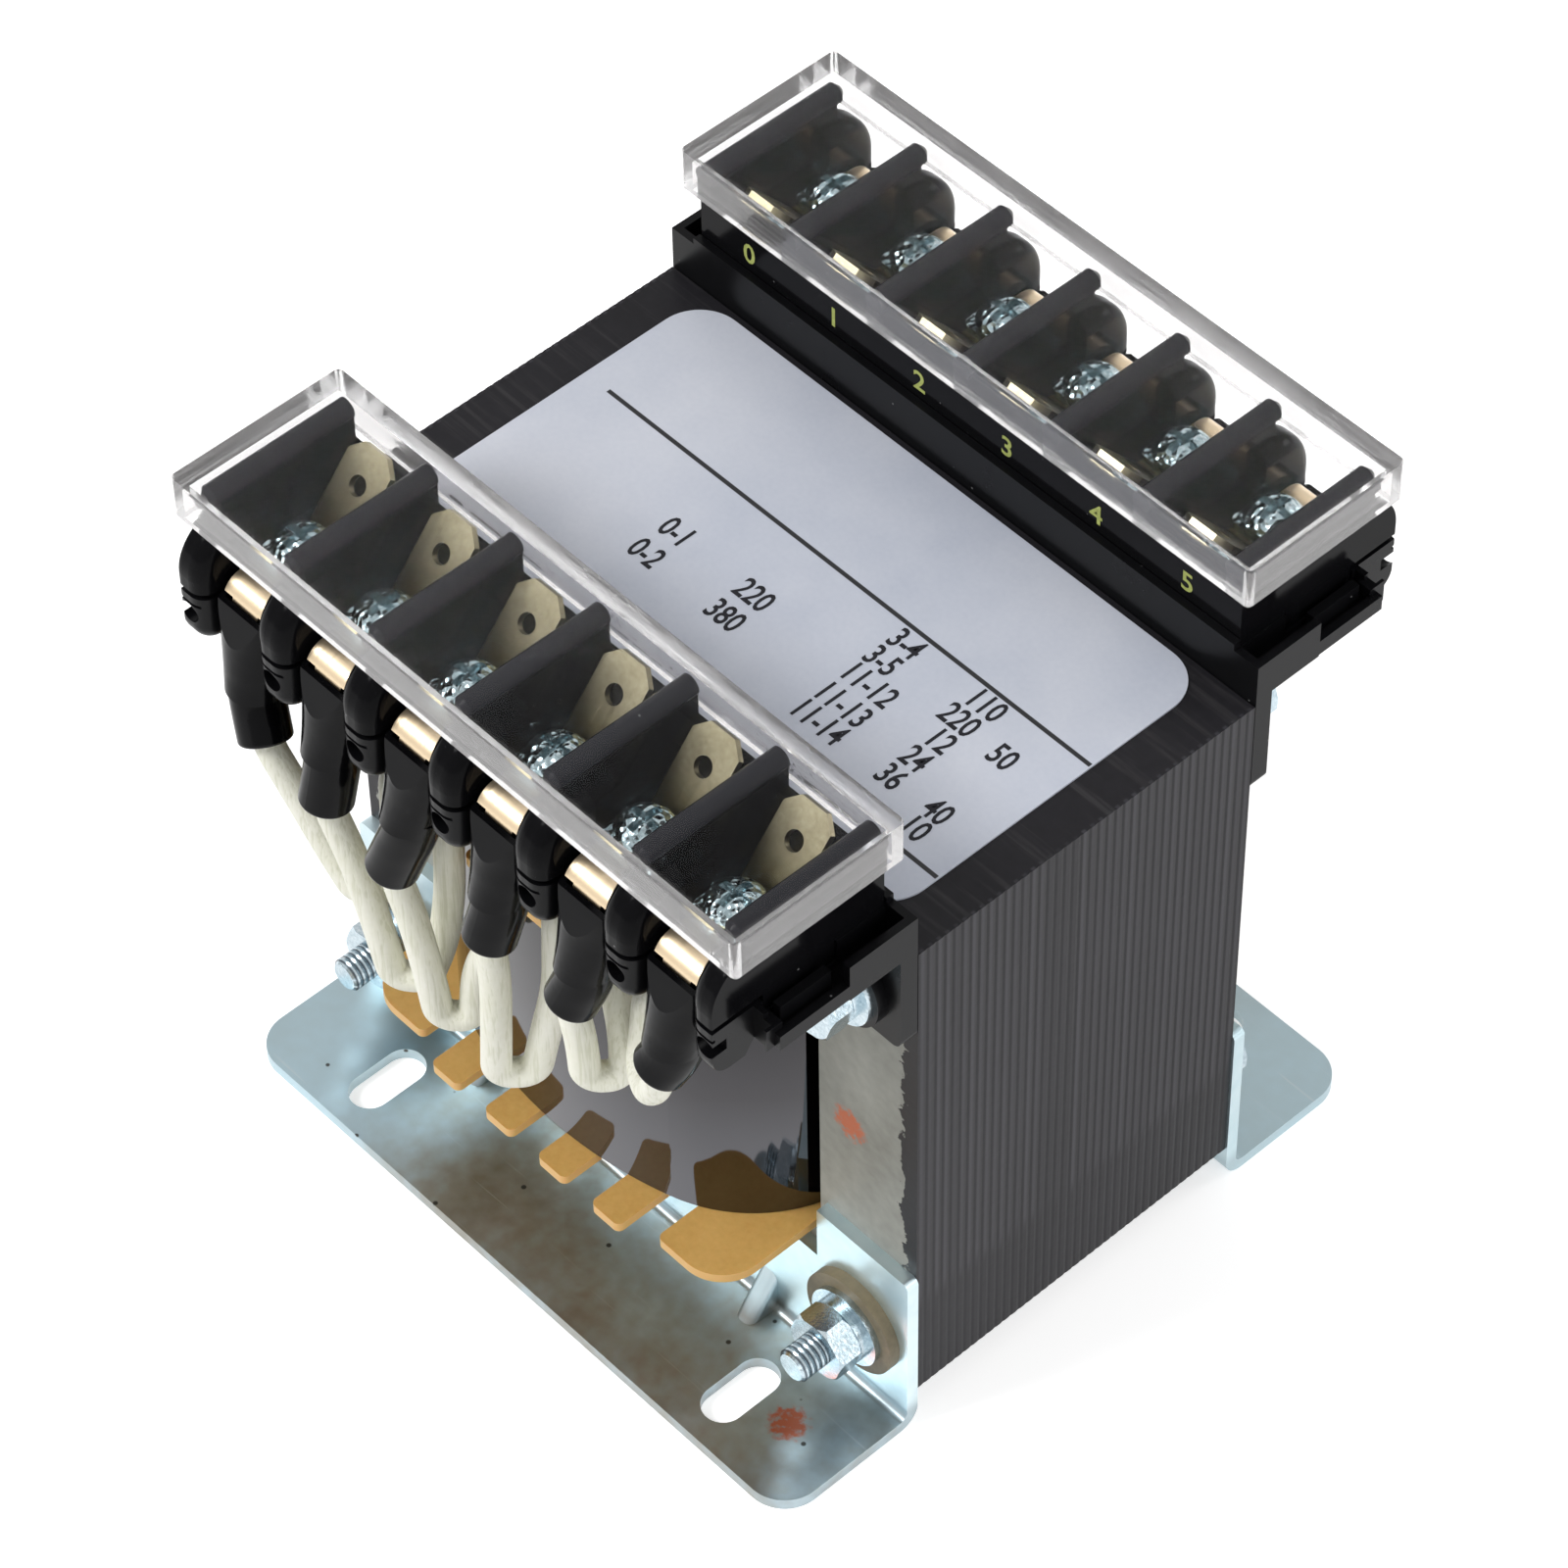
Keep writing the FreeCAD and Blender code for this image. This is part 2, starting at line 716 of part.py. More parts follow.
def disc(radius, hole, thickness):
    """A washer lying against the plane Y = 0 on its front side, with its hole along Y."""
    forward = FreeCAD.Vector(0, -1, 0)
    ring = Part.makeCylinder(radius, thickness, FreeCAD.Vector(0, 0, 0), forward)
    return ring.cut(Part.makeCylinder(hole, thickness, FreeCAD.Vector(0, 0, 0), forward))


def hexagon(across_flats, height):
    radius = across_flats / math.sqrt(3)
    corners = [FreeCAD.Vector(radius * math.cos(math.radians(60 * turn + 12)), 0,
                              radius * math.sin(math.radians(60 * turn + 12))) for turn in range(7)]
    prism = Part.Face(Part.makePolygon(corners)).extrude(FreeCAD.Vector(0, -height, 0))
    crown = Part.makeCone(radius * 0.9, radius * 0.9 + height * 1.8, height * 1.8, FreeCAD.Vector(0, 0, 0),
                          FreeCAD.Vector(0, -1, 0))
    crown_far = Part.makeCone(radius * 0.9 + height * 1.8, radius * 0.9, height * 1.8,
                              FreeCAD.Vector(0, height * 0.8, 0), FreeCAD.Vector(0, -1, 0))
    return prism.common(crown).common(crown_far)


def make_core_hardware():
    insulator = size("insulator_thickness").value
    washer = size("washer_thickness").value
    spring = size("spring_washer_thickness").value
    nut = size("nut_height").value
    radius = bolt_radius.value
    free_hole = radius + size("bolt_play").value
    insulator_form = disc(size("insulator_diameter").value / 2, free_hole, insulator)
    washer_form = disc(size("washer_diameter").value / 2, free_hole, washer)
    slit = size("spring_washer_slit").value
    spring_form = disc(size("spring_washer_diameter").value / 2, free_hole, spring)
    cutter = Part.makeBox(slit, spring * 3, size("spring_washer_diameter").value,
                          FreeCAD.Vector(-slit / 2, -spring * 2, -size("spring_washer_diameter").value))
    cutter.rotate(FreeCAD.Vector(0, -spring / 2, 0), FreeCAD.Vector(0, 0, 1),
                  size("spring_washer_slant").value)
    spring_form = spring_form.cut(cutter)
    nut_form = hexagon(size("nut_across_flats").value, nut)
    nut_form = nut_form.cut(Part.makeCylinder(radius, nut, FreeCAD.Vector(0, 0, 0), FreeCAD.Vector(0, -1, 0)))
    head_form = hexagon(size("nut_across_flats").value, size("bolt_head_height").value)
    to_rear = FreeCAD.Rotation(FreeCAD.Vector(0, 0, 1), 180)
    pieces = {"core_bolts": [], "core_nuts": [], "core_flat_washers": [], "core_spring_washers": [],
              "core_insulating_washers": [], "core_bolt_tubes": []}
    for x, z, seat, fibre in bolt_places():
        def put(name, form, out, rear=False):
            copy = form.copy()
            turn = to_rear if rear else FreeCAD.Rotation()
            copy.Placement = FreeCAD.Placement(FreeCAD.Vector(x, out if rear else -out, z), turn)
            pieces[name].append(copy)

        for rear in (False, True):
            if fibre:
                put("core_insulating_washers", insulator_form, seat, rear)
            put("core_flat_washers", washer_form, seat + fibre, rear)
        put("core_spring_washers", spring_form, seat + fibre + washer)
        nut_out = seat + fibre + washer + spring
        put("core_nuts", nut_form, nut_out)
        head_out = seat + fibre + washer
        end_out = nut_out + nut + size("bolt_tail").value
        shank = Part.makeCylinder(radius, head_out + end_out, FreeCAD.Vector(x, head_out, z),
                                  FreeCAD.Vector(0, -1, 0))
        tip = [edge for edge in shank.Edges if abs(edge.CenterOfMass.y + end_out) < 0.01]
        shank = shank.makeChamfer(size("bolt_tip").value, tip[:1])
        head = head_form.copy()
        head.Placement = FreeCAD.Placement(FreeCAD.Vector(x, head_out, z), to_rear)
        pieces["core_bolts"].append(shank.fuse(head).removeSplitter())
        tube = Part.makeCylinder(tube_outer.value, 2 * seat, FreeCAD.Vector(x, seat, z), FreeCAD.Vector(0, -1, 0))
        bore = Part.makeCylinder(tube_inner.value, 2 * seat, FreeCAD.Vector(x, seat, z), FreeCAD.Vector(0, -1, 0))
        pieces["core_bolt_tubes"].append(tube.cut(bore))
    return [shape_node(name, Part.makeCompound(shapes)) for name, shapes in pieces.items()]


# Terminal carrier: a moulded shelf on the core's upper edge that the block snaps on to
def make_carrier(label):
    carrier = new_body(label)
    shelf_front = face + size("carrier_front")
    key_start = face + size("key_near") - size("key_play")
    key_end = face + size("key_near") + size("key_width") + size("key_play")
    deck = size("carrier_deck")
    groove = deck - size("key_depth")
    step = deck - size("parting_gap")
    arm_start = block_end + size("key_play")
    section = [
        (-carrier_back, size("carrier_skirt_bottom")), (-carrier_back, size("carrier_ridge_top")),
        (-carrier_back - size("carrier_ridge_wall"), size("carrier_ridge_top")),
        (-carrier_back - size("carrier_ridge_wall"), deck), (-key_start, deck), (-key_start, groove),
        (-key_end, groove), (-key_end, step), (-shelf_front, step), (-shelf_front, size("carrier_underside")),
        (-tab_face, size("carrier_underside")), (-tab_face, size("carrier_skirt_bottom")),
    ]
    add_pad(carrier, "YZ", -arm_start, arm_start, [section])
    plate_low = size("carrier_tab_bottom")
    add_pad(carrier, "XZ", carrier_back, tab_face,
            both_sides(box_outline(bolt_x - size("carrier_tab_side"), core_half, plate_low, deck)))
    boss = size("carrier_boss_diameter") / 2
    add_pad(carrier, "XZ", tab_face - 0.2, boss_face,
            circles=[((-bolt_x, bolt_high), boss), ((bolt_x, bolt_high), boss)])
    arm_front = face + size("carrier_arm_reach")
    add_pad(carrier, "XZ", carrier_back, arm_front,
            both_sides(box_outline(arm_start, core_half, size("carrier_underside"), size("carrier_arm_top"))))
    ledge_front = face + size("carrier_ledge_reach")
    ledge_low = size("carrier_underside") + size("carrier_ledge_step")
    ledge_top = ledge_low + size("carrier_ledge_thickness")
    add_pad(carrier, "XZ", arm_front - 0.5, ledge_front,
            both_sides(box_outline(arm_start, core_half, ledge_low, ledge_top)))
    rim = size("carrier_rim")
    channel_floor = ledge_low + rim
    channel_start = carrier_back + rim
    add_pocket(carrier, "XY", channel_floor, size("carrier_arm_top") + 1,
               [box_outline(arm_start, core_half - rim, -ledge_front + rim, -channel_start),
                box_outline(-core_half + rim, -arm_start, -ledge_front + rim, -channel_start)])
    latch_inner = arm_start + size("latch_gap")
    latch_outer = latch_inner + size("latch_thickness")
    latch_near = face + size("latch_start")
    latch_far = latch_near + size("latch_length")
    add_pad(carrier, "XY", channel_floor - 0.2, size("latch_top"),
            both_sides(box_outline(latch_inner, latch_outer, -latch_far, -latch_near)))
    clip_middle = (arm_start + core_half) / 2
    clip_half = size("carrier_clip_width") / 2
    clip_reach = size("carrier_clip_reach")
    add_pad(carrier, "XZ", ledge_front - clip_reach, ledge_front + clip_reach,
            both_sides(box_outline(clip_middle - clip_half, clip_middle + clip_half, ledge_low,
                                   ledge_low + size("carrier_clip_height"))))
    reach = face + size("lobe_reach")
    toe = size("lobe_toe_round")
    toe_share = toe * (1 - math.sqrt(0.5))
    lobe_low = size("lobe_bottom")
    lobe = [
        (-shelf_front + 0.6, step), (-reach, step),
        (-reach, lobe_low + toe, -reach + toe_share, lobe_low + toe_share),
        (-reach + toe, lobe_low), (-shelf_front - 1.2, lobe_low),
        (-shelf_front + 0.6, size("carrier_underside")),
    ]
    lobe_half = size("lobe_width") / 2
    lobe_pad = add_pad(carrier, "YZ", -row_half - lobe_half, -row_half + lobe_half, [lobe])
    add_row(carrier, [lobe_pad], size("pole_pitch"), POLES + 1)
    soften(carrier, "Fillet", size("lobe_round"),
           lambda edge: runs_along(edge, (0, 0, 1)) and near(edge.CenterOfMass.y, -reach))
    hole_pocket = add_pocket(carrier, "XZ", reach - size("lobe_hole_depth"), reach + 1,
                             circles=[((-row_half, step - size("lobe_hole_drop")), size("lobe_hole") / 2)])
    groove_top = step - size("lobe_groove_drop")
    groove_pocket = add_pocket(carrier, "XZ", reach - size("lobe_groove_depth"), reach + 1,
                               [box_outline(-row_half - lobe_half, -row_half + lobe_half,
                                            groove_top - size("lobe_groove_height"), groove_top)])
    add_row(carrier, [hole_pocket, groove_pocket], size("pole_pitch"), POLES + 1)
    spill = row_half + lobe_half + 1
    add_pocket(carrier, "XZ", shelf_front, reach + 2,
               both_sides(box_outline(block_end, spill, size("lobe_bottom") - 1, deck)))
    add_pocket(carrier, "XZ", face - 1, boss_face + 1,
               circles=[((-bolt_x, bolt_high), hole_radius), ((bolt_x, bolt_high), hole_radius)])
    soften(carrier, "Fillet", size("carrier_tab_round"),
           lambda edge: runs_along(edge, (0, 1, 0)) and near(edge.CenterOfMass.z, plate_low))
    return carrier


# Terminal block: seven barriers with beads and knuckles, and a bay for each pole between them
def make_block(label):
    block = new_body(label)
    start = face + size("block_start")
    floor = size("block_floor")
    bottom = size("carrier_deck")
    front = face + size("block_front")
    key_start = face + size("key_near")
    key_end = key_start + size("key_width")
    section = [
        (-start, bottom), (-start, size("block_wall_top")),
        (-start - size("block_wall"), size("block_wall_top")), (-start - size("block_wall"), floor),
        (-front, floor), (-front, bottom), (-key_end, bottom), (-key_end, bottom - size("key_depth")),
        (-key_start, bottom - size("key_depth")), (-key_start, bottom),
    ]
    add_pad(block, "YZ", -block_end, block_end, [section])
    reach = face + size("lobe_reach")
    brow = size("lobe_brow_round")
    brow_share = brow * (1 - math.sqrt(0.5))
    lobe_top = size("lobe_top")
    lobe = [
        (-front + size("lobe_root"), bottom), (-reach, bottom),
        (-reach, lobe_top - brow, -reach + brow_share, lobe_top - brow_share),
        (-reach + brow, lobe_top), (-front + size("lobe_root"), lobe_top),
    ]
    lobe_half = size("lobe_width") / 2
    lobe_pad = add_pad(block, "YZ", -row_half - lobe_half, -row_half + lobe_half, [lobe])
    add_row(block, [lobe_pad], size("pole_pitch"), POLES + 1)
    soften(block, "Fillet", size("lobe_round"),
           lambda edge: runs_along(edge, (0, 0, 1)) and near(edge.CenterOfMass.y, -reach))
    web_half = size("barrier_thickness") / 2
    hook = size("barrier_hook")
    web = [
        (-barrier_start, bottom), (-barrier_start, size("bead_axis")), (-barrier_end + hook, size("bead_axis")),
        (-barrier_end + hook, size("bead_axis") - hook * 2), (-barrier_end + hook / 2, size("bead_axis") - hook * 2.5),
        (-front, floor + size("barrier_foot_rise")), (-front, bottom),
    ]
    web_pad = add_pad(block, "YZ", -row_half - web_half, -row_half + web_half, [web])
    bead_sketch = new_sketch(block, "YZ", -row_half)
    bead_sketch.AttachmentOffset.Base.y = size("bead_axis").value
    bead_sketch.setExpression("AttachmentOffset.Base.y", size("bead_axis").formula)
    bead_radius = size("bead_radius")
    bevel = bead_radius / 2
    draw_outline(bead_sketch, [
        (-barrier_start, 0), (-barrier_start, bead_radius), (-barrier_end + bevel, bead_radius),
        (-barrier_end, bevel), (-barrier_end, 0),
    ])
    bead = block.newObject("PartDesign::Revolution", "bead")
    bead.Profile = bead_sketch
    bead.ReferenceAxis = (bead_sketch, ["H_Axis"])
    bead.Angle = 360
    block.Tip = bead
    doc.recompute()
    add_row(block, [web_pad, bead], size("pole_pitch"), POLES + 1)
    spill = row_half + lobe_half + 1
    add_pocket(block, "XZ", face, reach + 2,
               both_sides(box_outline(block_end, spill, bottom - 1, size("bead_axis") - bead_radius)))
    screw_hole = size("screw_diameter") / 2 + size("screw_play")
    hole_low = clamp_top - size("screw_length") - size("screw_play")
    holes = [((size("pole_pitch") * (pole - (POLES - 1) / 2), -screw_out), screw_hole) for pole in range(POLES)]
    add_pocket(block, "XY", hole_low, floor + 1, circles=holes)
    return block


# Brass strip of one pole: a leaning push-on blade, a flat seat and a solder tab that turns down
def make_strip_form():
    strip = new_body("terminal_strip_form")
    floor = size("block_floor")
    thickness = size("strip_thickness")
    bend = size("strip_bend")
    bend_centre_out = tab_out - bend - thickness
    bend_centre_up = floor - bend
    diagonal = math.sqrt(0.5)
    angle = size("blade_angle")
    sin_angle = sine(angle)
    cos_angle = cosine(angle)
    half_sin = sine(angle / 2)
    half_cos = cosine(angle / 2)
    lean_out = face + size("blade_start")
    lean_up = strip_top + size("blade_bend")
    tight = size("blade_bend")
    wide = tight + thickness
    run = size("blade_length")
    outline = [
        (-tab_out, size("strip_tab_bottom")), (-tab_out, bend_centre_up,
                                               -(bend_centre_out + (bend + thickness) * diagonal),
                                               bend_centre_up + (bend + thickness) * diagonal),
        (-bend_centre_out, strip_top),
        (-lean_out, strip_top, -(lean_out - tight * half_sin), lean_up - tight * half_cos),
        (-(lean_out - tight * sin_angle), lean_up - tight * cos_angle),
        (-(lean_out - tight * sin_angle - run * cos_angle), lean_up - tight * cos_angle + run * sin_angle),
        (-(lean_out - wide * sin_angle - run * cos_angle), lean_up - wide * cos_angle + run * sin_angle),
        (-(lean_out - wide * sin_angle), lean_up - wide * cos_angle,
         -(lean_out - wide * half_sin), lean_up - wide * half_cos),
        (-lean_out, floor),
        (-bend_centre_out, floor, -(bend_centre_out + bend * diagonal), bend_centre_up + bend * diagonal),
        (-(tab_out - thickness), bend_centre_up), (-(tab_out - thickness), size("strip_tab_bottom")),
    ]
    half = size("strip_width") / 2
    add_pad(strip, "YZ", -half, half, [outline])
    narrow = size("strip_tab_width") / 2
    shoulder = size("sleeve_top") + size("sleeve_gap")
    add_pocket(strip, "XZ", face, tab_out + 1,
               both_sides(box_outline(narrow, half + 1, size("strip_tab_bottom") - 1, shoulder)))
    add_pocket(strip, "XY", floor - 1, strip_top + 1,
               circles=[((0, -screw_out), size("screw_diameter") / 2 + size("screw_play") / 2)])
    tip_up = (lean_up - wide * cos_angle + run * sin_angle).value
    soften(strip, "Chamfer", size("blade_corner"),
           lambda edge: abs(edge.CenterOfMass.x) > half.value - 0.01 and edge.CenterOfMass.z > tip_up - 0.1
           and edge.Length < thickness.value * 1.2)
    place = size("blade_hole_place")
    centre = FreeCAD.Vector(0, -(lean_out - tight * sin_angle - place * cos_angle).value,
                            (lean_up - tight * cos_angle + place * sin_angle).value)
    normal = FreeCAD.Vector(0, -sin_angle.value, cos_angle.value)
    drill = Part.makeCylinder(size("blade_hole").value / 2, 4, centre - normal * 2, normal)
    form = doc.addObject("Part::Feature", "terminal_strip_drilled")
    form.Shape = strip.Shape.cut(drill)
    return form


def pole_places():
    pitch = size("pole_pitch").value
    return [moved(pitch * (pole - (POLES - 1) / 2)) for pole in range(POLES)]


def make_screw_form():
    screw = new_body("terminal_screw_form")
    head = size("screw_head_diameter") / 2
    top = clamp_top + size("screw_head_height")
    rim = clamp_top + size("screw_head_height") * 0.45
    shank = size("screw_diameter") / 2
    sketch = new_sketch(screw, "XZ", screw_out)
    draw_outline(sketch, [
        (0, clamp_top - size("screw_length")), (shank, clamp_top - size("screw_length")), (shank, clamp_top),
        (head, clamp_top), (head, rim, head * 0.72, top - size("screw_head_height") * 0.15), (0, top),
    ])
    revolution = screw.newObject("PartDesign::Revolution", "revolution")
    revolution.Profile = sketch
    revolution.ReferenceAxis = (sketch, ["V_Axis"])
    revolution.Angle = 360
    screw.Tip = revolution
    doc.recompute()
    slot = 0.45
    reach = head * 0.62
    floor = top - size("screw_head_height") * 0.55
    for across in ((slot, reach), (reach, slot)):
        add_pocket(screw, "XY", floor, top + 0.5,
                   [box_outline(-as_size(across[0]), across[0], -screw_out - across[1], -screw_out + across[1])])
    return screw


def make_clamp_form():
    clamp = new_body("clamp_washer_form")
    half = size("clamp_width") / 2
    depth = size("clamp_depth") / 2
    add_pad(clamp, "XY", strip_top, clamp_top, [box_outline(-half, half, -screw_out - depth, -screw_out + depth)],
            circles=[((0, -screw_out), size("screw_diameter") / 2 + size("screw_play"))])
    soften(clamp, "Fillet", size("clamp_corner"), lambda edge: runs_along(edge, (0, 0, 1)))
    return clamp


# Clear cover: a shallow tray turned over, resting on the beads
def make_cover(label):
    cover = new_body(label)
    half_x = row_half + size("bead_radius") + size("cover_play") + size("cover_wall")
    half_y = size("cover_width") / 2
    middle = face + size("cover_middle")
    bottom = cover_top - size("cover_height")
    wall = size("cover_wall")
    add_pad(cover, "XY", bottom, cover_top, [box_outline(-half_x, half_x, -middle - half_y, -middle + half_y)])
    soften(cover, "Fillet", size("cover_corner"), lambda edge: runs_along(edge, (0, 0, 1)))
    hollow = box_outline(-half_x + wall, half_x - wall, -middle - half_y + wall, -middle + half_y - wall)
    add_pocket(cover, "XY", bottom, cover_top - wall, [hollow])
    return cover


def make_rating_plate():
    plate = new_body("rating_plate")
    half_x = core_half - size("plate_side")
    half_y = face - size("plate_end")
    add_pad(plate, "XY", core_top, core_top + size("plate_thickness"),
            [box_outline(-half_x, half_x, -half_y, half_y)])
    soften(plate, "Fillet", size("plate_corner"), lambda edge: runs_along(edge, (0, 0, 1)))
    return plate


# Leads: each hangs in a loop between its solder tab and the winding.
# The first row of a lead starts at its sleeve's lower end and holds the hanging part:
# sideways from the pole, out from the solder tab and up from the tab's lower end.
# The second holds the rising part: sideways from the lead's exit, out from the finger tips
# and up from the top of the window.
LEAD_LOOPS = [
    ([(3.05, 1.6, -7.5), (5.75, 0.6, -13.4), (9.25, 0.0, -19.0), (12.65, -0.8, -24.5)],
     [(0.2, 0.8, -12.6), (0.1, 0.3, -6.6)]),
    ([(-0.45, 1.6, -9.0), (1.95, 0.7, -16.4), (3.95, 0.1, -25.0), (5.15, -0.5, -32.8)],
     [(-2.6, 2.1, -21.7), (-0.7, 1.1, -14.9), (0.0, 0.3, -6.9)]),
    ([(-3.15, 1.6, -10.6), (-1.65, 0.7, -18.0), (-0.65, 0.2, -25.2), (-0.05, -0.3, -32.5)],
     [(-3.7, 2.1, -21.4), (-3.7, 1.4, -14.9), (-0.8, 0.9, -7.4)]),
    ([(-1.05, 1.6, -8.6), (-1.55, 0.8, -16.2), (-2.25, 0.6, -24.4), (-3.05, 0.4, -32.5)],
     [(-2.5, 2.2, -21.4), (-1.4, 1.6, -14.9), (-0.3, 0.5, -7.4)]),
    ([(-1.65, 1.6, -7.5), (-0.85, 1.2, -13.2), (-0.75, 1.0, -19.0)],
     [(4.0, 2.8, -7.9), (2.8, 1.7, -3.3), (1.0, 1.0, 1.3)]),
    ([(-1.65, 1.6, -6.3), (-2.65, 1.0, -10.8), (-5.05, 0.1, -14.2)],
     [(0.5, 2.9, -3.9), (-0.2, 1.5, 0.4)]),
]


def lead_exits():
    """Where each lead leaves the coil: the gaps between the fingers, then the slot in the ear."""
    clear = size("lead_diameter") / 2 + size("lead_gap_play")
    side_gap = (size("finger_pitch") * 1.5 + size("finger_width") / 2 + size("ear_start")) / 2
    side_out = (face + size("lead_gap_root") + clear).value
    finger_out = (face + size("finger_root") + clear).value
    ear_out = (face + size("ear_slot_depth") + clear).value
    pitch = size("finger_pitch").value
    return [(-side_gap.value, side_out), (-pitch, finger_out), (0.0, finger_out), (pitch, finger_out),
            (side_gap.value, side_out), (size("ear_slot_place").value, ear_out)]


def rounded_path(points):
    """Straight runs joined by tangent arcs as large as the runs allow."""
    edges = []
    radii = []
    last = points[0]
    for index in range(1, len(points) - 1):
        here = points[index]
        before = (points[index - 1] - here).normalize()
        after = (points[index + 1] - here).normalize()
        turn = math.pi - before.getAngle(after)
        run = min((points[index - 1] - here).Length, (points[index + 1] - here).Length)
        setback = 0.45 * run
        radius = setback / math.tan(turn / 2)
        radii.append(round(radius, 1))
        first = here + before * setback
        second = here + after * setback
        middle_way = (before + after).normalize()
        middle = here + middle_way * (radius / math.cos(turn / 2) - radius)
        edges.append(Part.LineSegment(last, first).toShape())
        edges.append(Part.Arc(first, middle, second).toShape())
        last = second
    edges.append(Part.LineSegment(last, points[-1]).toShape())
    return Part.Wire(edges), radii


def tube_along(points, radius):
    path, radii = rounded_path(points)
    direction = (points[1] - points[0]).normalize()
    circle = Part.Wire([Part.Circle(points[0], direction, radius).toShape()])
    tube = path.makePipeShell([circle], True, True)
    share = tube.Volume / (math.pi * radius ** 2 * path.Length)
    return tube, radii, path.Length, share


def sleeve_route(pole):
    """From the solder tab's lower end through the waist of the sleeve to its lower end."""
    pole_x = size("pole_pitch").value * (pole - (POLES - 1) / 2)
    tab_end = size("strip_tab_bottom").value
    sideways, out, up = LEAD_LOOPS[pole][0][0]
    top = FreeCAD.Vector(pole_x, -tab_middle.value, tab_end)
    waist = FreeCAD.Vector(pole_x + sideways / 4, -(tab_middle + size("sleeve_lean")).value,
                           size("sleeve_waist").value)
    end = FreeCAD.Vector(pole_x + sideways, -tab_middle.value - out, tab_end + up)
    return [top, waist, end]


def lead_points(pole, exit_place):
    """From the solder tab down through the sleeve, round the loop and over the flange to the coil."""
    top, waist, sleeve_end = sleeve_route(pole)
    neck = top - FreeCAD.Vector(0, 0, size("lead_neck").value)
    points = [top, neck, waist, sleeve_end]
    hanging, rising = LEAD_LOOPS[pole]
    for sideways, out, up in hanging[1:]:
        points.append(top + FreeCAD.Vector(sideways, -out, up))
    finger_tips = (face + size("finger_reach")).value
    for sideways, out, up in rising:
        points.append(FreeCAD.Vector(exit_place[0] + sideways, -finger_tips - out, window_top.value + up))
    crest = (window_top + size("lead_crest")).value
    points.append(FreeCAD.Vector(exit_place[0] * 0.8 + points[-1].x * 0.2, points[-1].y + 0.4, crest))
    points.append(FreeCAD.Vector(exit_place[0], -exit_place[1], crest))
    points.append(FreeCAD.Vector(exit_place[0], -exit_place[1], coil_top.value))
    return points


def make_leads(end):
    nodes = []
    for pole, exit_place in enumerate(lead_exits()):
        points = lead_points(pole, exit_place)
        tube, radii, length, share = tube_along(points, size("lead_diameter").value / 2)
        node = shape_node(f"{end}_lead_{pole + 1}", tube)
        nodes.append(node)
        if end == "front":
            print(node.Label, "length", round(length, 1), "radii", radii, "volume share", round(share, 3))
    return nodes


# Heat-shrink sleeves: flattened over the tab and round over the lead
def oval(centre, width, depth):
    """A closed level oval with its width along X."""
    if abs(width - depth) < 0.01:
        return Part.Wire([Part.Circle(centre, FreeCAD.Vector(0, 0, 1), width / 2).toShape()])
    along = FreeCAD.Vector(width / 2, 0, 0)
    across = FreeCAD.Vector(0, depth / 2, 0)
    return Part.Wire([Part.Ellipse(centre + along, centre + across, centre).toShape()])


def sleeve_solid(pole, shrink):
    """The outside of a sleeve, or its bore when it is shrunk by the wall."""
    route = sleeve_route(pole)
    on_tab, waist, _ = route
    top = size("sleeve_top").value
    ring_height = size("sleeve_ring_height").value
    middle_height = (top + ring_height) / 2
    top_width = size("sleeve_top_width").value - 2 * shrink
    top_depth = size("sleeve_top_depth").value - 2 * shrink
    ring_width = size("sleeve_ring_diameter").value - 2 * shrink
    ring_centre = FreeCAD.Vector(waist.x, waist.y, ring_height)
    middle_centre = FreeCAD.Vector((on_tab.x * 3 + waist.x) / 4, (on_tab.y * 3 + waist.y) / 4, middle_height)
    upper = Part.makeLoft([
        oval(FreeCAD.Vector(on_tab.x, on_tab.y, top), top_width, top_depth),
        oval(middle_centre, top_width * 0.7 + ring_width * 0.3, top_depth * 0.7 + ring_width * 0.3),
        oval(ring_centre, ring_width, ring_width),
    ], True, False)
    # the front is pressed flat against the tab, and the flat runs out further down
    flat_bottom = size("sleeve_flat_bottom").value
    flat_top_depth = size("sleeve_flat_depth").value - shrink
    flat_end_depth = ring_width / 2
    slope = (flat_end_depth - flat_top_depth) / (top - flat_bottom)
    far = ring_width * 2
    profile = [(flat_top_depth - slope, top + 1), (flat_end_depth + slope, flat_bottom - 1),
               (far, flat_bottom - 1), (far, top + 1)]
    corners = [FreeCAD.Vector(on_tab.x - far, on_tab.y - out, up) for out, up in profile + profile[:1]]
    flat = Part.Face(Part.makePolygon(corners)).extrude(FreeCAD.Vector(2 * far, 0, 0))
    lower, _, _, _ = tube_along(route, size("sleeve_end_diameter").value / 2 - shrink)
    if shrink == 0:
        rim = max(lower.Edges, key=lambda edge: (edge.CenterOfMass - on_tab).Length if edge.isClosed() else 0)
        lower = lower.makeFillet(size("sleeve_end_round").value, [rim])
    return upper.cut(flat).fuse(lower).removeSplitter()


def make_sleeves(label):
    sleeves = []
    for pole in range(POLES):
        sleeves.append(sleeve_solid(pole, 0).cut(sleeve_solid(pole, size("sleeve_wall").value)))
    return shape_node(label, Part.makeCompound(sleeves))


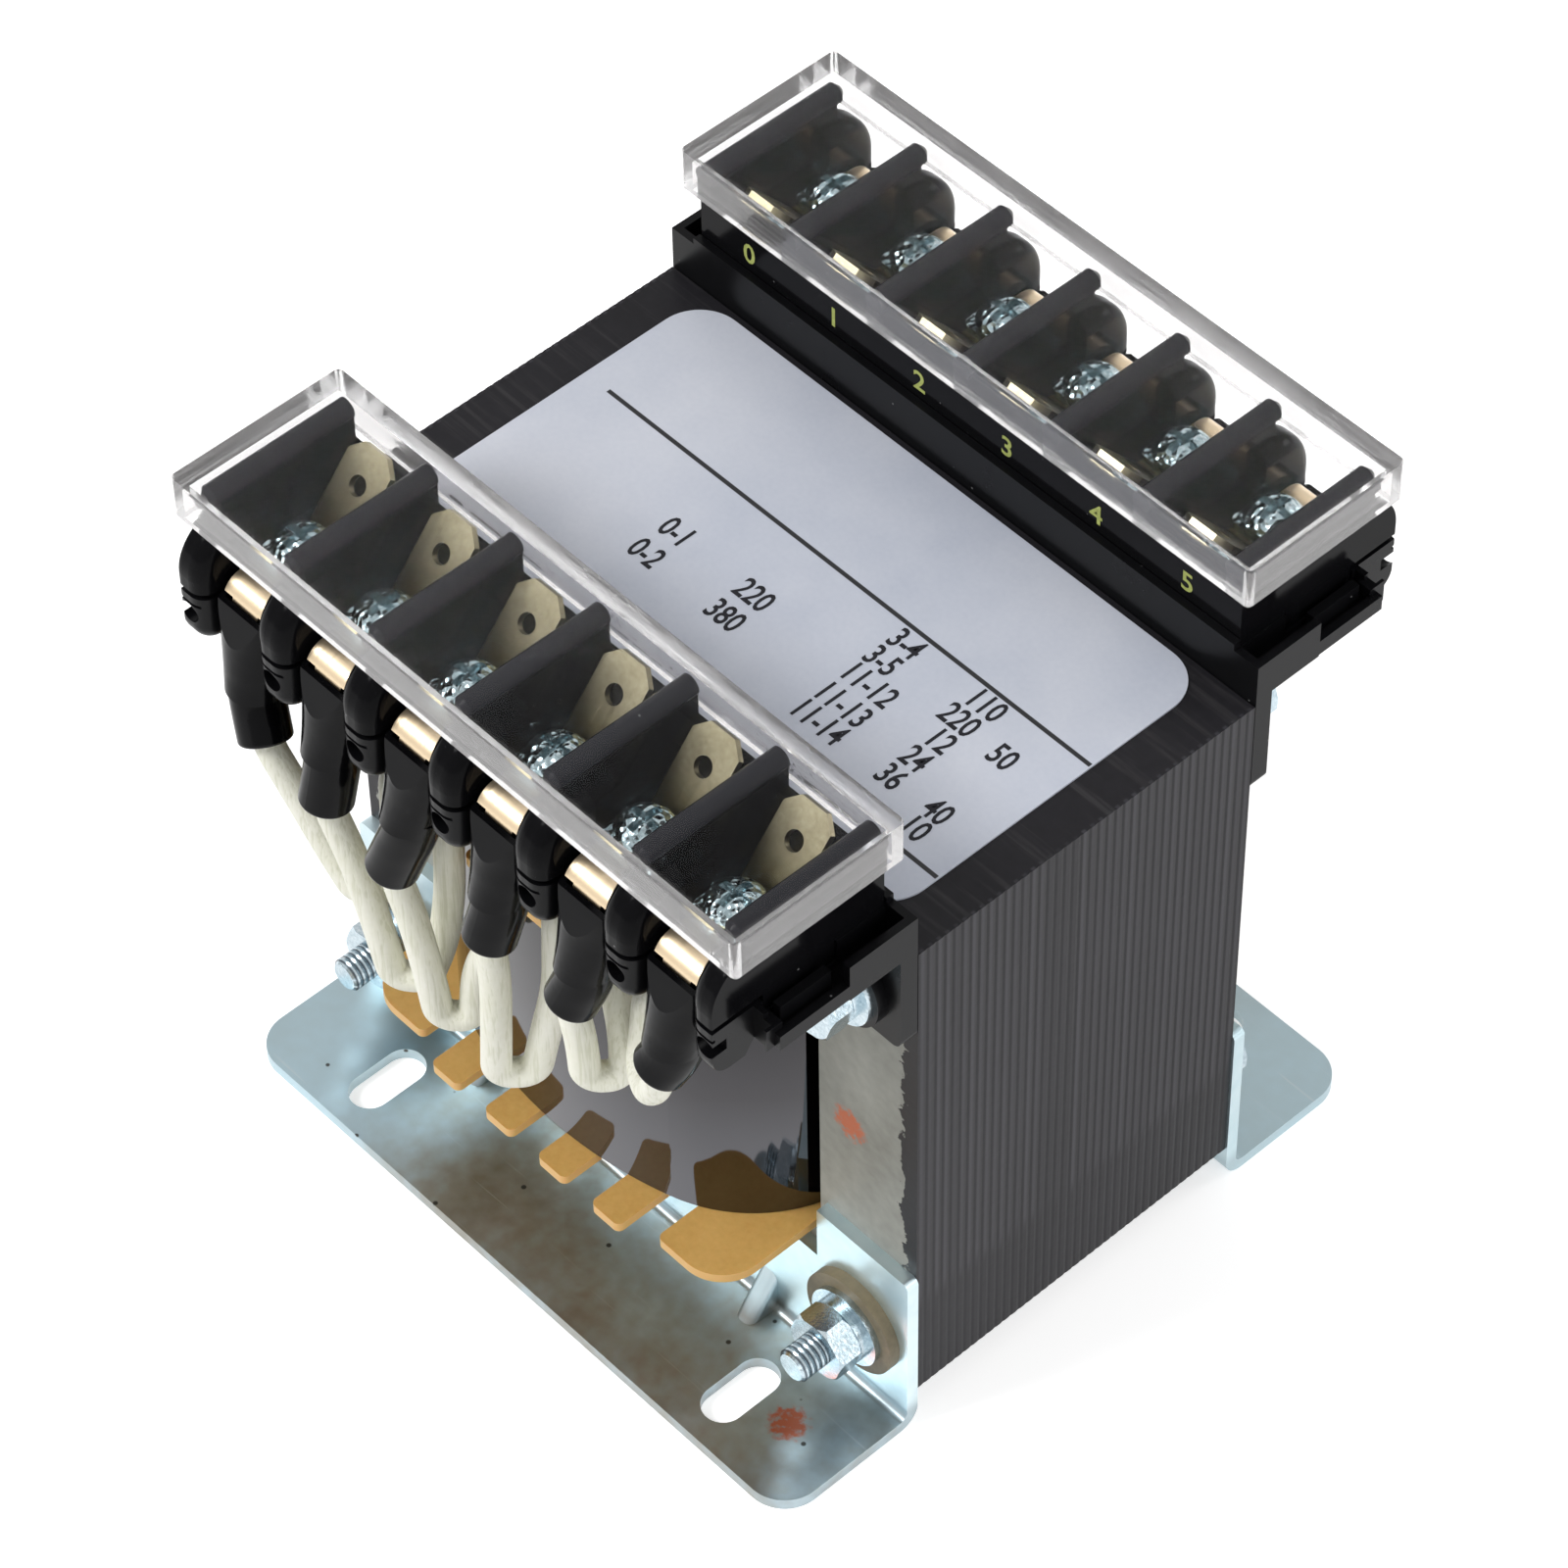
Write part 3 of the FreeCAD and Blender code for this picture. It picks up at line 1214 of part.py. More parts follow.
nodes = make_core() + make_bobbin() + make_windings() + make_core_hardware() + [make_rating_plate()]
strip_form = make_strip_form()
screw_form = make_screw_form()
clamp_form = make_clamp_form()
for end in ("front", "rear"):
    pieces = [
        make_foot(f"{end}_foot"),
        make_carrier(f"{end}_terminal_carrier"),
        make_block(f"{end}_terminal_block"),
        make_cover(f"{end}_cover"),
        group_node(f"{end}_terminal_strips", strip_form, pole_places()),
        group_node(f"{end}_terminal_screws", screw_form, pole_places()),
        group_node(f"{end}_clamp_washers", clamp_form, pole_places()),
        make_sleeves(f"{end}_heat_shrink_sleeves"),
    ] + make_leads(end)
    if end == "rear":
        for piece in pieces:
            turn_to_rear(piece)
    nodes += pieces

doc.recompute()
for item in doc.Objects:
    if "Invalid" in item.State or "Error" in item.State:
        raise RuntimeError(f"{item.Label} failed: {item.State}")
for node in nodes:
    if node.Shape.isNull() or not node.Shape.isValid():
        raise RuntimeError(f"{node.Label} has no valid shape")

os.makedirs("parts", exist_ok=True)
for node in nodes:
    node.Shape.exportStep(f"parts/{node.Label}.step")
    print(node.Label, len(node.Shape.Solids), round(node.Shape.Volume))
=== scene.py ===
# %% [markdown]
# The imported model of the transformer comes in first. It is the frame for all that
# follows: every piece keeps its place, and this script gives each surface its finish.

# %% Load the model
import math

import bmesh
import bpy
from mathutils import Matrix, Vector


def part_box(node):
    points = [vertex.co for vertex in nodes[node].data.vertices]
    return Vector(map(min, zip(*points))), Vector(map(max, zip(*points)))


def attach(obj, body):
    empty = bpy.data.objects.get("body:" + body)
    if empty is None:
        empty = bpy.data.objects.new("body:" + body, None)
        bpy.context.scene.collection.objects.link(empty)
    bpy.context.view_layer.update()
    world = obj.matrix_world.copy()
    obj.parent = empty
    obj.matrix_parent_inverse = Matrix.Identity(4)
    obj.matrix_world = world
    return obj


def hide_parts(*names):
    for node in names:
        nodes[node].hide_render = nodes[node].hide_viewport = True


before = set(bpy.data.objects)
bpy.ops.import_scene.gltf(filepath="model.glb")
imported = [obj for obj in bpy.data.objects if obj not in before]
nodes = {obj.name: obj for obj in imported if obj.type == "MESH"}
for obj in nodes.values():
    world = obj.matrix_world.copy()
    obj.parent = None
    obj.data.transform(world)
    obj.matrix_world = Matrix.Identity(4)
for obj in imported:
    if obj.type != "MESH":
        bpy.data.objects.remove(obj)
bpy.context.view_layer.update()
MM = 0.001
print("pieces in the model:", len(nodes))

# %% [markdown]
# The camera stands high and to the right of the front foot, far away with a long lens,
# as for a catalogue picture. Its place and lens come from lining up the core's known
# corners with the picture, so straight edges run the same way in both.

# %% Camera
camera_data = bpy.data.cameras.new("catalogue_camera")
camera_data.sensor_width = 36.0
camera_data.lens = 141.63
camera_data.clip_start = 0.05
camera_data.clip_end = 20.0
camera = bpy.data.objects.new("catalogue_camera", camera_data)
camera.location = (0.30524, -0.27628, 0.52183)
camera.rotation_euler = (math.radians(40.880), math.radians(0.705), math.radians(47.160))
bpy.context.scene.collection.objects.link(camera)
bpy.context.scene.camera = camera
bpy.context.scene.view_settings.view_transform = "Standard"
print("camera stands", round(camera.location.length, 3), "m from the origin")

# %% [markdown]
# The object stands on a plain white sweep, which has to look pure white past the object
# and through its clear plastic, and still light the object softly. A few short helpers
# come first, because the sweep and every later material are built with them.


# %% Helpers for materials
def new_material(name):
    """An empty node material and its node tree."""
    material = bpy.data.materials.new(name)
    material.use_nodes = True
    tree = material.node_tree
    tree.nodes.clear()
    return material, tree


def add_node(tree, kind, **settings):
    """One node, with its plain settings and its unlinked inputs set by name."""
    node = tree.nodes.new(kind)
    inputs = settings.pop("inputs", {})
    for name, value in settings.items():
        setattr(node, name, value)
    for name, value in inputs.items():
        node.inputs[name].default_value = value
    return node


def math_node(tree, operation, *values):
    """One arithmetic step. Each value is a socket or a plain number."""
    node = add_node(tree, "ShaderNodeMath", operation=operation)
    for socket, value in zip(node.inputs, values):
        if isinstance(value, (int, float)):
            socket.default_value = value
        else:
            tree.links.new(value, socket)
    return node.outputs[0]


def remap(tree, mask, low, high):
    """Turns a mask from 0 to 1 into a value from low to high."""
    node = add_node(tree, "ShaderNodeMapRange", inputs={"To Min": low, "To Max": high})
    tree.links.new(mask, node.inputs["Value"])
    return node.outputs["Result"]


def finish_surface(tree, values, fields):
    """The surface's shader. Its plain values and its varying fields are set by name."""
    shader = add_node(tree, "ShaderNodeBsdfPrincipled", inputs=values)
    for name, field in fields.items():
        tree.links.new(field, shader.inputs[name])
    out = add_node(tree, "ShaderNodeOutputMaterial")
    tree.links.new(shader.outputs[0], out.inputs["Surface"])


def srgb(red, green, blue):
    """A colour read off a screen, from 0 to 255, as the renderer's linear colour."""
    def linear(channel):
        share = channel / 255
        return share / 12.92 if share <= 0.04045 else ((share + 0.055) / 1.055) ** 2.4
    return (linear(red), linear(green), linear(blue), 1.0)


# %% [markdown]
# The white comes from Light Path. Camera and clear rays see the world at a strength of 1,
# which is pure white, mirror rays see most of it, and every other ray sees a soft grey, so
# the background can't burn out the object. The floor glows for the first three kinds of
# ray only. Lamplight brings it up to white, except in the shadow that the object throws.

# %% World and floor
SKY_SOFT = 0.4
SKY_IN_MIRRORS = 0.67
FLOOR_GLOW = 0.55
FLOOR_GREY = 0.9
FLOOR_HALF = 3.0
FLOOR_DROP = 0.0001


def see_white(tree, soft_strength, mirror_share):
    """A strength that is 1 for camera and clear rays, and soft for the rest.

    Mirror rays see a share of the way from soft to 1.
    """
    path = add_node(tree, "ShaderNodeLightPath").outputs
    mirrored = math_node(tree, "MULTIPLY", path["Is Glossy Ray"], mirror_share)
    seen = math_node(tree, "MAXIMUM", path["Is Camera Ray"], mirrored)
    seen = math_node(tree, "MAXIMUM", seen, path["Is Transmission Ray"])
    return remap(tree, seen, soft_strength, 1.0)


world = bpy.data.worlds.new("white_sweep")
bpy.context.scene.world = world
world.use_nodes = True
air = world.node_tree
air.nodes.clear()
sky = add_node(air, "ShaderNodeBackground", inputs={"Color": (1, 1, 1, 1)})
air.links.new(see_white(air, SKY_SOFT, SKY_IN_MIRRORS), sky.inputs["Strength"])
sky_out = add_node(air, "ShaderNodeOutputWorld")
air.links.new(sky.outputs[0], sky_out.inputs["Surface"])

floor_mesh = bmesh.new()
bmesh.ops.create_grid(floor_mesh, x_segments=1, y_segments=1, size=FLOOR_HALF)
bmesh.ops.translate(floor_mesh, verts=floor_mesh.verts, vec=(0, 0, -FLOOR_DROP))
floor_data = bpy.data.meshes.new("floor")
floor_mesh.to_mesh(floor_data)
floor_mesh.free()
floor = bpy.data.objects.new("floor", floor_data)
bpy.context.scene.collection.objects.link(floor)
paper, tree = new_material("white_paper")
glow = math_node(tree, "MULTIPLY", see_white(tree, 0.0, 1.0), FLOOR_GLOW)
finish_surface(tree, {
    "Base Color": (FLOOR_GREY, FLOOR_GREY, FLOOR_GREY, 1), "Roughness": 0.9,
    "Specular IOR Level": 0.0, "Emission Color": (1, 1, 1, 1)}, {"Emission Strength": glow})
floor.data.materials.append(paper)
print("white sweep laid,", 2 * FLOOR_HALF, "m wide")

# %% [markdown]
# Three soft lamps do the lighting: a main one from the upper left of the camera, a fill
# from the right, and a low one behind that draws pale edges on the black mouldings. They
# are kept fairly small, so that smooth black plastic shows them as crisp highlights.

# %% Lamps
AIM = Vector((0, 0, 0.05))


def soft_lamp(name, place, width, watts):
    """A square area lamp that faces the middle of the object."""
    data = bpy.data.lights.new(name, "AREA")
    data.shape = "SQUARE"
    data.size = width
    data.energy = watts
    lamp = bpy.data.objects.new(name, data)
    lamp.location = place
    lamp.rotation_euler = (AIM - Vector(place)).to_track_quat("-Z", "Y").to_euler()
    bpy.context.scene.collection.objects.link(lamp)


soft_lamp("main_lamp", (-0.5, -0.9, 1.1), 0.5, 12.0)
soft_lamp("fill_lamp", (1.2, 0.1, 0.7), 0.8, 5.0)
soft_lamp("back_lamp", (0.5, 1.2, 0.4), 0.5, 5.0)

# %% [markdown]
# Real surfaces are never one flat value. This group mixes two noise patterns into one
# mask, a broad one for stains and a fine one for grain, and each material uses it with
# its own scale. It reads Object coordinates, so the pattern stays on the piece.


# %% Shared mottle group
def object_vector(tree):
    """Where the shaded point lies in the piece's own space, in metres."""
    return add_node(tree, "ShaderNodeTexCoord").outputs["Object"]


def make_mottle_group():
    """The node group, with its inputs and its one output."""
    group = bpy.data.node_groups.new("mottle", "ShaderNodeTree")
    for name, value in (("Broad Scale", 60.0), ("Fine Scale", 900.0), ("Fine Share", 0.3)):
        socket = group.interface.new_socket(
            name=name, in_out="INPUT", socket_type="NodeSocketFloat")
        socket.default_value = value
    group.interface.new_socket(name="Mask", in_out="OUTPUT", socket_type="NodeSocketFloat")
    inlet = add_node(group, "NodeGroupInput")
    outlet = add_node(group, "NodeGroupOutput")
    place = object_vector(group)
    broad = add_node(group, "ShaderNodeTexNoise", inputs={"Detail": 4.0, "Roughness": 0.6})
    fine = add_node(group, "ShaderNodeTexNoise", inputs={"Detail": 2.0})
    mix = add_node(group, "ShaderNodeMix", data_type="FLOAT")
    group.links.new(place, broad.inputs["Vector"])
    group.links.new(place, fine.inputs["Vector"])
    group.links.new(inlet.outputs["Broad Scale"], broad.inputs["Scale"])
    group.links.new(inlet.outputs["Fine Scale"], fine.inputs["Scale"])
    group.links.new(inlet.outputs["Fine Share"], mix.inputs["Factor"])
    group.links.new(broad.outputs["Fac"], mix.inputs["A"])
    group.links.new(fine.outputs["Fac"], mix.inputs["B"])
    group.links.new(mix.outputs["Result"], outlet.inputs["Mask"])
    return group


mottle = make_mottle_group()


def add_mottle(tree, broad, fine, share):
    """The group's mask with a broad scale, a fine scale and the fine one's share."""
    node = add_node(tree, "ShaderNodeGroup", node_tree=mottle, inputs={
        "Broad Scale": broad, "Fine Scale": fine, "Fine Share": share})
    return node.outputs["Mask"]


def ramp(tree, mask, stops):
    """A colour ramp over a mask. A stop is a place from 0 to 1 and a colour."""
    node = add_node(tree, "ShaderNodeValToRGB")
    elements = node.color_ramp.elements
    while len(elements) > len(stops):
        elements.remove(elements[-1])
    while len(elements) < len(stops):
        elements.new(0.5)
    for element, (position, colour) in zip(elements, stops):
        element.position = position
        element.color = colour
    tree.links.new(mask, node.inputs["Fac"])
    return node.outputs["Color"]


def bump(tree, height, distance, strength):
    """A normal that makes the surface look raised where the height is high.

    The distance is how far a height of 1 seems to rise, in metres.
    """
    node = add_node(tree, "ShaderNodeBump", inputs={"Distance": distance, "Strength": strength})
    tree.links.new(height, node.inputs["Height"])
    return node.outputs["Normal"]


def dress(material, *names):
    """Puts the material on the named pieces in place of the plain one."""
    for name in names:
        slots = nodes[name].material_slots
        if not slots:
            nodes[name].data.materials.append(material)
        for slot in slots:
            slot.material = material
    print(material.name, "on", ", ".join(names))


def both_ends(*names):
    """The names of the front and rear pieces that share these endings."""
    return [f"{end}_{name}" for end in ("front", "rear") for name in names]


# %% [markdown]
# Many marks sit at one place on the object: a stain, a bare patch, a band of thicker
# varnish. The next helpers build such masks out of plain arithmetic on the place of each
# point, so nothing has to be painted and the marks stay where they are in every view.
# From here on, places inside a material are in millimetres.

# %% Helpers for masks
SMUDGE_COVER = 0.85


def object_place(tree):
    """The place of the shaded point in millimetres, as three separate sockets."""
    scaled = add_node(tree, "ShaderNodeVectorMath", operation="SCALE", inputs={"Scale": 1 / MM})
    tree.links.new(object_vector(tree), scaled.inputs[0])
    apart = add_node(tree, "ShaderNodeSeparateXYZ")
    tree.links.new(scaled.outputs[0], apart.inputs[0])
    return apart.outputs["X"], apart.outputs["Y"], apart.outputs["Z"]


def step_up(tree, value, low, high):
    """A mask that climbs from 0 at low to 1 at high, or falls when high is the lower one."""
    node = add_node(tree, "ShaderNodeMapRange", interpolation_type="SMOOTHSTEP")
    flip = high < low
    node.inputs["From Min"].default_value = min(low, high)
    node.inputs["From Max"].default_value = max(low, high)
    node.inputs["To Min"].default_value = 1.0 if flip else 0.0
    node.inputs["To Max"].default_value = 0.0 if flip else 1.0
    tree.links.new(value, node.inputs["Value"])
    return node.outputs["Result"]


def both(tree, *masks):
    """A mask that is 1 only where all of these are."""
    result = masks[0]
    for mask in masks[1:]:
        result = math_node(tree, "MULTIPLY", result, mask)
    return result


def blend_colours(tree, mask, below, above):
    """Lays one colour over another where the mask is 1."""
    node = add_node(tree, "ShaderNodeMix", data_type="RGBA")
    colour_sockets = [socket for socket in node.inputs if socket.type == "RGBA"]
    for socket, colour in zip(colour_sockets, (below, above)):
        if isinstance(colour, tuple):
            socket.default_value = colour
        else:
            tree.links.new(colour, socket)
    tree.links.new(mask, node.inputs["Factor"])
    return next(socket for socket in node.outputs if socket.type == "RGBA")


def facing_up(tree):
    """How level a face lies: 1 for a flat top or underside, 0 for an upright side."""
    geometry = add_node(tree, "ShaderNodeNewGeometry")
    normal = add_node(tree, "ShaderNodeSeparateXYZ")
    tree.links.new(geometry.outputs["True Normal"], normal.inputs[0])
    return math_node(tree, "ABSOLUTE", normal.outputs["Z"])


def cell_distance(tree, scale):
    """How far each point lies from the middle of its cell, in a pattern of random cells."""
    cells = add_node(tree, "ShaderNodeTexVoronoi", inputs={"Scale": scale})
    tree.links.new(object_vector(tree), cells.inputs["Vector"])
    return cells.outputs["Distance"]


def stretched_noise(tree, scale, stretch, detail=3.0):
    """Noise drawn out into streaks: a small stretch along an axis makes long streaks there."""
    mapping = add_node(tree, "ShaderNodeMapping", inputs={"Scale": stretch})
    noise = add_node(tree, "ShaderNodeTexNoise",
                     inputs={"Scale": scale, "Detail": detail, "Roughness": 0.6})
    tree.links.new(object_vector(tree), mapping.inputs["Vector"])
    tree.links.new(mapping.outputs[0], noise.inputs["Vector"])
    return noise.outputs["Fac"]


def smudge(tree, centre, radius, grain):
    """A ragged stain: a soft ball round a point, broken up by noise. Sizes in millimetres."""
    place = object_vector(tree)
    away = add_node(tree, "ShaderNodeVectorMath", operation="DISTANCE",
                    inputs={1: tuple(value * MM for value in centre)})
    tree.links.new(place, away.inputs[0])
    ball = step_up(tree, away.outputs["Value"], radius * MM, 0.0)
    speck = add_node(tree, "ShaderNodeTexNoise", inputs={"Scale": 1 / MM / grain, "Detail": 3.0})
    tree.links.new(place, speck.inputs["Vector"])
    stain = step_up(tree, both(tree, ball, speck.outputs["Fac"]), 0.2, 0.42)
    return math_node(tree, "MULTIPLY", stain, SMUDGE_COVER)


print("mask helpers ready")

# %% [markdown]
# The core is a stack of sheets under dark varnish. Along the sides the sheet edges show
# as fine ribs, and a painted highlight makes each a little lighter on its crest. The brush
# stopped short on the legs' front and rear faces, so bare grey steel shows there behind a
# ragged edge. The rib pattern uses the same pitch as the ribs of the solid, so colour and
# shape fall together.

# %% Core varnish
RIB_PITCH = 1.125
STACK_FACE = 22.5
SIDE_START = (41.5, 41.75)
DRIP_EDGE = (17.5, 21.0)
PLAIN_BAND = (-5.8, -0.7)
BAND_RAMP = 0.6
TOP_START = (74.7, 74.85)
BARE_OUT_TO = 40.1
BARE_UP_TO = 60.4
RAGGED_BY = 5.0
LEG_STAIN = (32.3, -22.5, 40.0)
LEG_STAIN_RADIUS = 4.6
STAIN_GRAIN = 0.7


def varnish_material():
    """Dark varnish with a painted highlight on the rib crests, and the bare steel of the legs'
    faces.
    """
    material, tree = new_material("core_varnish")
    x, y, z = object_place(tree)
    across = math_node(tree, "DIVIDE", math_node(tree, "ADD", y, STACK_FACE), RIB_PITCH)
    crest = step_up(tree, math_node(tree, "PINGPONG", across, 0.5), 0.18, 0.42)
    sheet = add_node(tree, "ShaderNodeTexWhiteNoise", noise_dimensions="1D")
    tree.links.new(math_node(tree, "FLOOR", across), sheet.inputs["W"])
    out = math_node(tree, "ABSOLUTE", x)
    side = step_up(tree, out, *SIDE_START)
    above_drip = step_up(tree, z, *DRIP_EDGE)
    band_start, band_end = PLAIN_BAND
    band = both(tree, step_up(tree, y, band_start, band_start + BAND_RAMP),
                step_up(tree, y, band_end, band_end - BAND_RAMP))
    outside_band = math_node(tree, "SUBTRACT", 1.0, math_node(tree, "MULTIPLY", band, 0.7))
    ribbed = both(tree, side, above_drip, outside_band)
    cloud = add_mottle(tree, 45.0, 900.0, 0.3)
    dark = ramp(tree, cloud, [(0.3, srgb(26, 25, 28)), (0.7, srgb(36, 35, 39))])
    uneven = math_node(tree, "MULTIPLY_ADD", sheet.outputs["Value"], 0.5, 0.5)
    # Painted highlight: each rib crest is lightened as if it catches the light.
    painted_crest_highlight = both(tree, ribbed, crest, uneven)
    colour = blend_colours(tree, painted_crest_highlight, dark, srgb(62, 61, 66))
    brushed = stretched_noise(tree, 900.0, (0.05, 1.0, 0.05))
    brushed_top = both(tree, step_up(tree, brushed, 0.5, 0.75), step_up(tree, z, *TOP_START))
    colour = blend_colours(tree, brushed_top, colour, srgb(50, 49, 51))
    ragged = stretched_noise(tree, 420.0, (1.0, 1.0, 1.0), 6.0)
    shift = math_node(tree, "MULTIPLY", math_node(tree, "SUBTRACT", ragged, 0.5), RAGGED_BY)
    face = step_up(tree, math_node(tree, "ABSOLUTE", y), STACK_FACE - 0.06, STACK_FACE - 0.03)
    bare = both(tree, face,
                step_up(tree, math_node(tree, "ADD", out, shift), BARE_OUT_TO, BARE_OUT_TO - 0.1),
                step_up(tree, math_node(tree, "ADD", z, shift), BARE_UP_TO, BARE_UP_TO - 0.2))
    steel = ramp(tree, add_mottle(tree, 60.0, 700.0, 0.35),
                 [(0.3, srgb(138, 139, 132)), (0.7, srgb(172, 173, 166))])
    stain = smudge(tree, LEG_STAIN, LEG_STAIN_RADIUS, STAIN_GRAIN)
    steel = blend_colours(tree, stain, steel, srgb(214, 112, 72))
    colour = blend_colours(tree, bare, colour, steel)
    relief = bump(tree, math_node(tree, "ADD", cloud, bare), 0.00012, 0.5)
    finish_surface(tree, {"Roughness": 0.45, "Specular IOR Level": 0.18},
                   {"Base Color": colour, "Normal": relief})
    return material


varnish = varnish_material()
print("varnish ready, rib pitch", RIB_PITCH, "mm")

# %% [markdown]
# The varnish has nearly filled the grooves between the sheets, so the core's outline looks
# straight although its sides are ribbed. Each stack gets a copy of its own solid with the
# grooves raised to a twentieth of a millimetre. Copying keeps every edge and bolt hole.

# %% Core stacks with filled grooves
CORE_SIDE = 42.0 * MM
GROOVE_LEFT = 0.05 * MM
GROOVE_FLOOR = (CORE_SIDE - 0.4 * MM, CORE_SIDE - 0.1 * MM)
WELD = 1e-6


def fill_grooves(node_name, piece_name):
    """A copy of one stack with its grooves raised, in place of the node."""
    shape = bmesh.new()
    shape.from_mesh(nodes[node_name].data)
    bmesh.ops.remove_doubles(shape, verts=shape.verts, dist=WELD)
    raised = 0
    deep, shallow = GROOVE_FLOOR
    for vertex in shape.verts:
        if deep < abs(vertex.co.x) < shallow:
            vertex.co.x = math.copysign(CORE_SIDE - GROOVE_LEFT, vertex.co.x)
            raised += 1
    mesh = bpy.data.meshes.new(piece_name)
    shape.to_mesh(mesh)
    shape.free()
    mesh.materials.append(varnish)
    piece = bpy.data.objects.new(piece_name, mesh)
    bpy.context.scene.collection.objects.link(piece)
    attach(piece, "root")
    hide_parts(node_name)
    print(piece_name, "groove points raised:", raised)


fill_grooves("core_e_laminations", "core_e_stack")
fill_grooves("core_i_laminations", "core_i_stack")

# %% [markdown]
# The bobbin is amber nylon, a little translucent, so light bleeds into its thin fingers.
# A painted glow stands in for that light and makes their rims paler than their flat tops.


# %% Bobbin plastic
def amber_material():
    """Amber nylon with a painted glow that makes the upright rims paler."""
    material, tree = new_material("amber_nylon")
    mask = add_mottle(tree, 120.0, 1500.0, 0.35)
    colour = ramp(tree, mask, [(0.3, srgb(198, 154, 82)), (0.7, srgb(217, 174, 102))])
    # Painted glow: upright faces are lightened for the light that bleeds into the thin nylon.
    painted_rim_glow = step_up(tree, facing_up(tree), 0.6, 0.3)
    colour = blend_colours(tree, painted_rim_glow, colour, srgb(226, 180, 108))
    finish_surface(tree, {
        "Roughness": 0.36, "Specular IOR Level": 0.35,
        "Subsurface Weight": 0.25, "Subsurface Scale": 0.8 * MM},
        {"Base Color": colour, "Normal": bump(tree, mask, 0.00008, 0.4)})
    return material


dress(amber_material(), "bobbin")

# %% [markdown]
# A thin clear film over dark tape closes the coil. It mirrors the fingers below it, which
# a smooth metal-like surface with a dark grey tint does well.

# %% Coil film
FILM_FADE = (20.0, 60.0)


def film_material():
    """A smooth dark mirror that darkens towards the top."""
    material, tree = new_material("coil_film")
    height = step_up(tree, object_place(tree)[2], *FILM_FADE)
    colour = ramp(tree, height, [(0.0, (0.115, 0.115, 0.125, 1)), (0.45, (0.066, 0.064, 0.068, 1)),
                                 (1.0, (0.035, 0.034, 0.036, 1))])
    wave = stretched_noise(tree, 70.0, (1.0, 1.0, 0.4), 1.0)
    finish_surface(tree, {"Roughness": 0.05, "Metallic": 1.0},
                   {"Base Color": colour, "Normal": bump(tree, wave, 0.0006, 0.12)})
    return material


dress(film_material(), "coil_film_wrap")

# %% [markdown]
# The feet are folded zinc-plated sheet. The upright plates mirror the white room, and a
# painted reflection makes them pale blue. The base plates are duller: brownish grey with
# cloudy blue patches, bluer towards one end, with fine scratches, dark specks and one
# orange stain by a slot.

# %% Zinc-plated feet
FOOT_BEND = (2.0, 4.5)
BLUE_END = (12.0, 34.0)
FOOT_STAIN = (34.4, -33.2, 1.5)
FOOT_STAIN_RADIUS = 4.4


def foot_material():
    """Clouded zinc: a painted pale reflection on the upright plates, dull and stained on the base
    plates.
    """
    material, tree = new_material("zinc_feet")
    x, y, z = object_place(tree)
    cloud = add_mottle(tree, 38.0, 600.0, 0.18)
    dull = ramp(tree, cloud, [(0.3, srgb(136, 133, 122)), (0.42, srgb(154, 155, 150)),
                              (0.55, srgb(168, 182, 188)), (0.7, srgb(192, 212, 220))])
    # Painted reflection: the upright plates take a pale colour for the white room they mirror.
    painted_upright_reflection = ramp(tree, cloud, [(0.3, srgb(190, 216, 224)), (0.7, srgb(226, 240, 244))])
    along = math_node(tree, "MULTIPLY", x, math_node(tree, "SIGN", y))
    bluer = math_node(tree, "MULTIPLY", step_up(tree, along, *BLUE_END), 0.75)
    dull = blend_colours(tree, bluer, dull, srgb(184, 208, 217))
    colour = blend_colours(tree, step_up(tree, z, *FOOT_BEND), dull, painted_upright_reflection)
    speck = step_up(tree, cell_distance(tree, 210.0), 0.075, 0.045)
    colour = blend_colours(tree, speck, colour, srgb(74, 74, 72))
    scratch = step_up(tree, stretched_noise(tree, 1600.0, (0.03, 1.0, 1.0), 2.0), 0.66, 0.74)
    faint_scratch = math_node(tree, "MULTIPLY", scratch, 0.35)
    colour = blend_colours(tree, faint_scratch, colour, srgb(206, 214, 216))
    stain = smudge(tree, FOOT_STAIN, FOOT_STAIN_RADIUS, STAIN_GRAIN)
    colour = blend_colours(tree, stain, colour, srgb(205, 104, 66))
    finish_surface(tree, {"Metallic": 0.9}, {
        "Base Color": colour, "Roughness": remap(tree, cloud, 0.26, 0.42),
        "Normal": bump(tree, cloud, 0.0002, 0.25)})
    return material


dress(foot_material(), *both_ends("foot"))

# %% [markdown]
# Bolts, nuts and washers are brighter zinc with a blue tinge. The thread on the bolts'
# tails is a saw-tooth height along Y with the real pitch of 0.7 mm: too fine to model, but
# a bump catches the light just as turns of thread do, and painted shade darkens the troughs.

# %% Bright zinc and the bolt thread
THREAD_PITCH = 0.7
NUT_FRONT = 29.0
SCREW_FACETS = 1300.0
ZINC_SHADES = (srgb(158, 178, 188), srgb(196, 210, 217), srgb(226, 234, 238))
FACET_SHADES = (srgb(132, 152, 158), srgb(180, 198, 203), srgb(234, 241, 242))


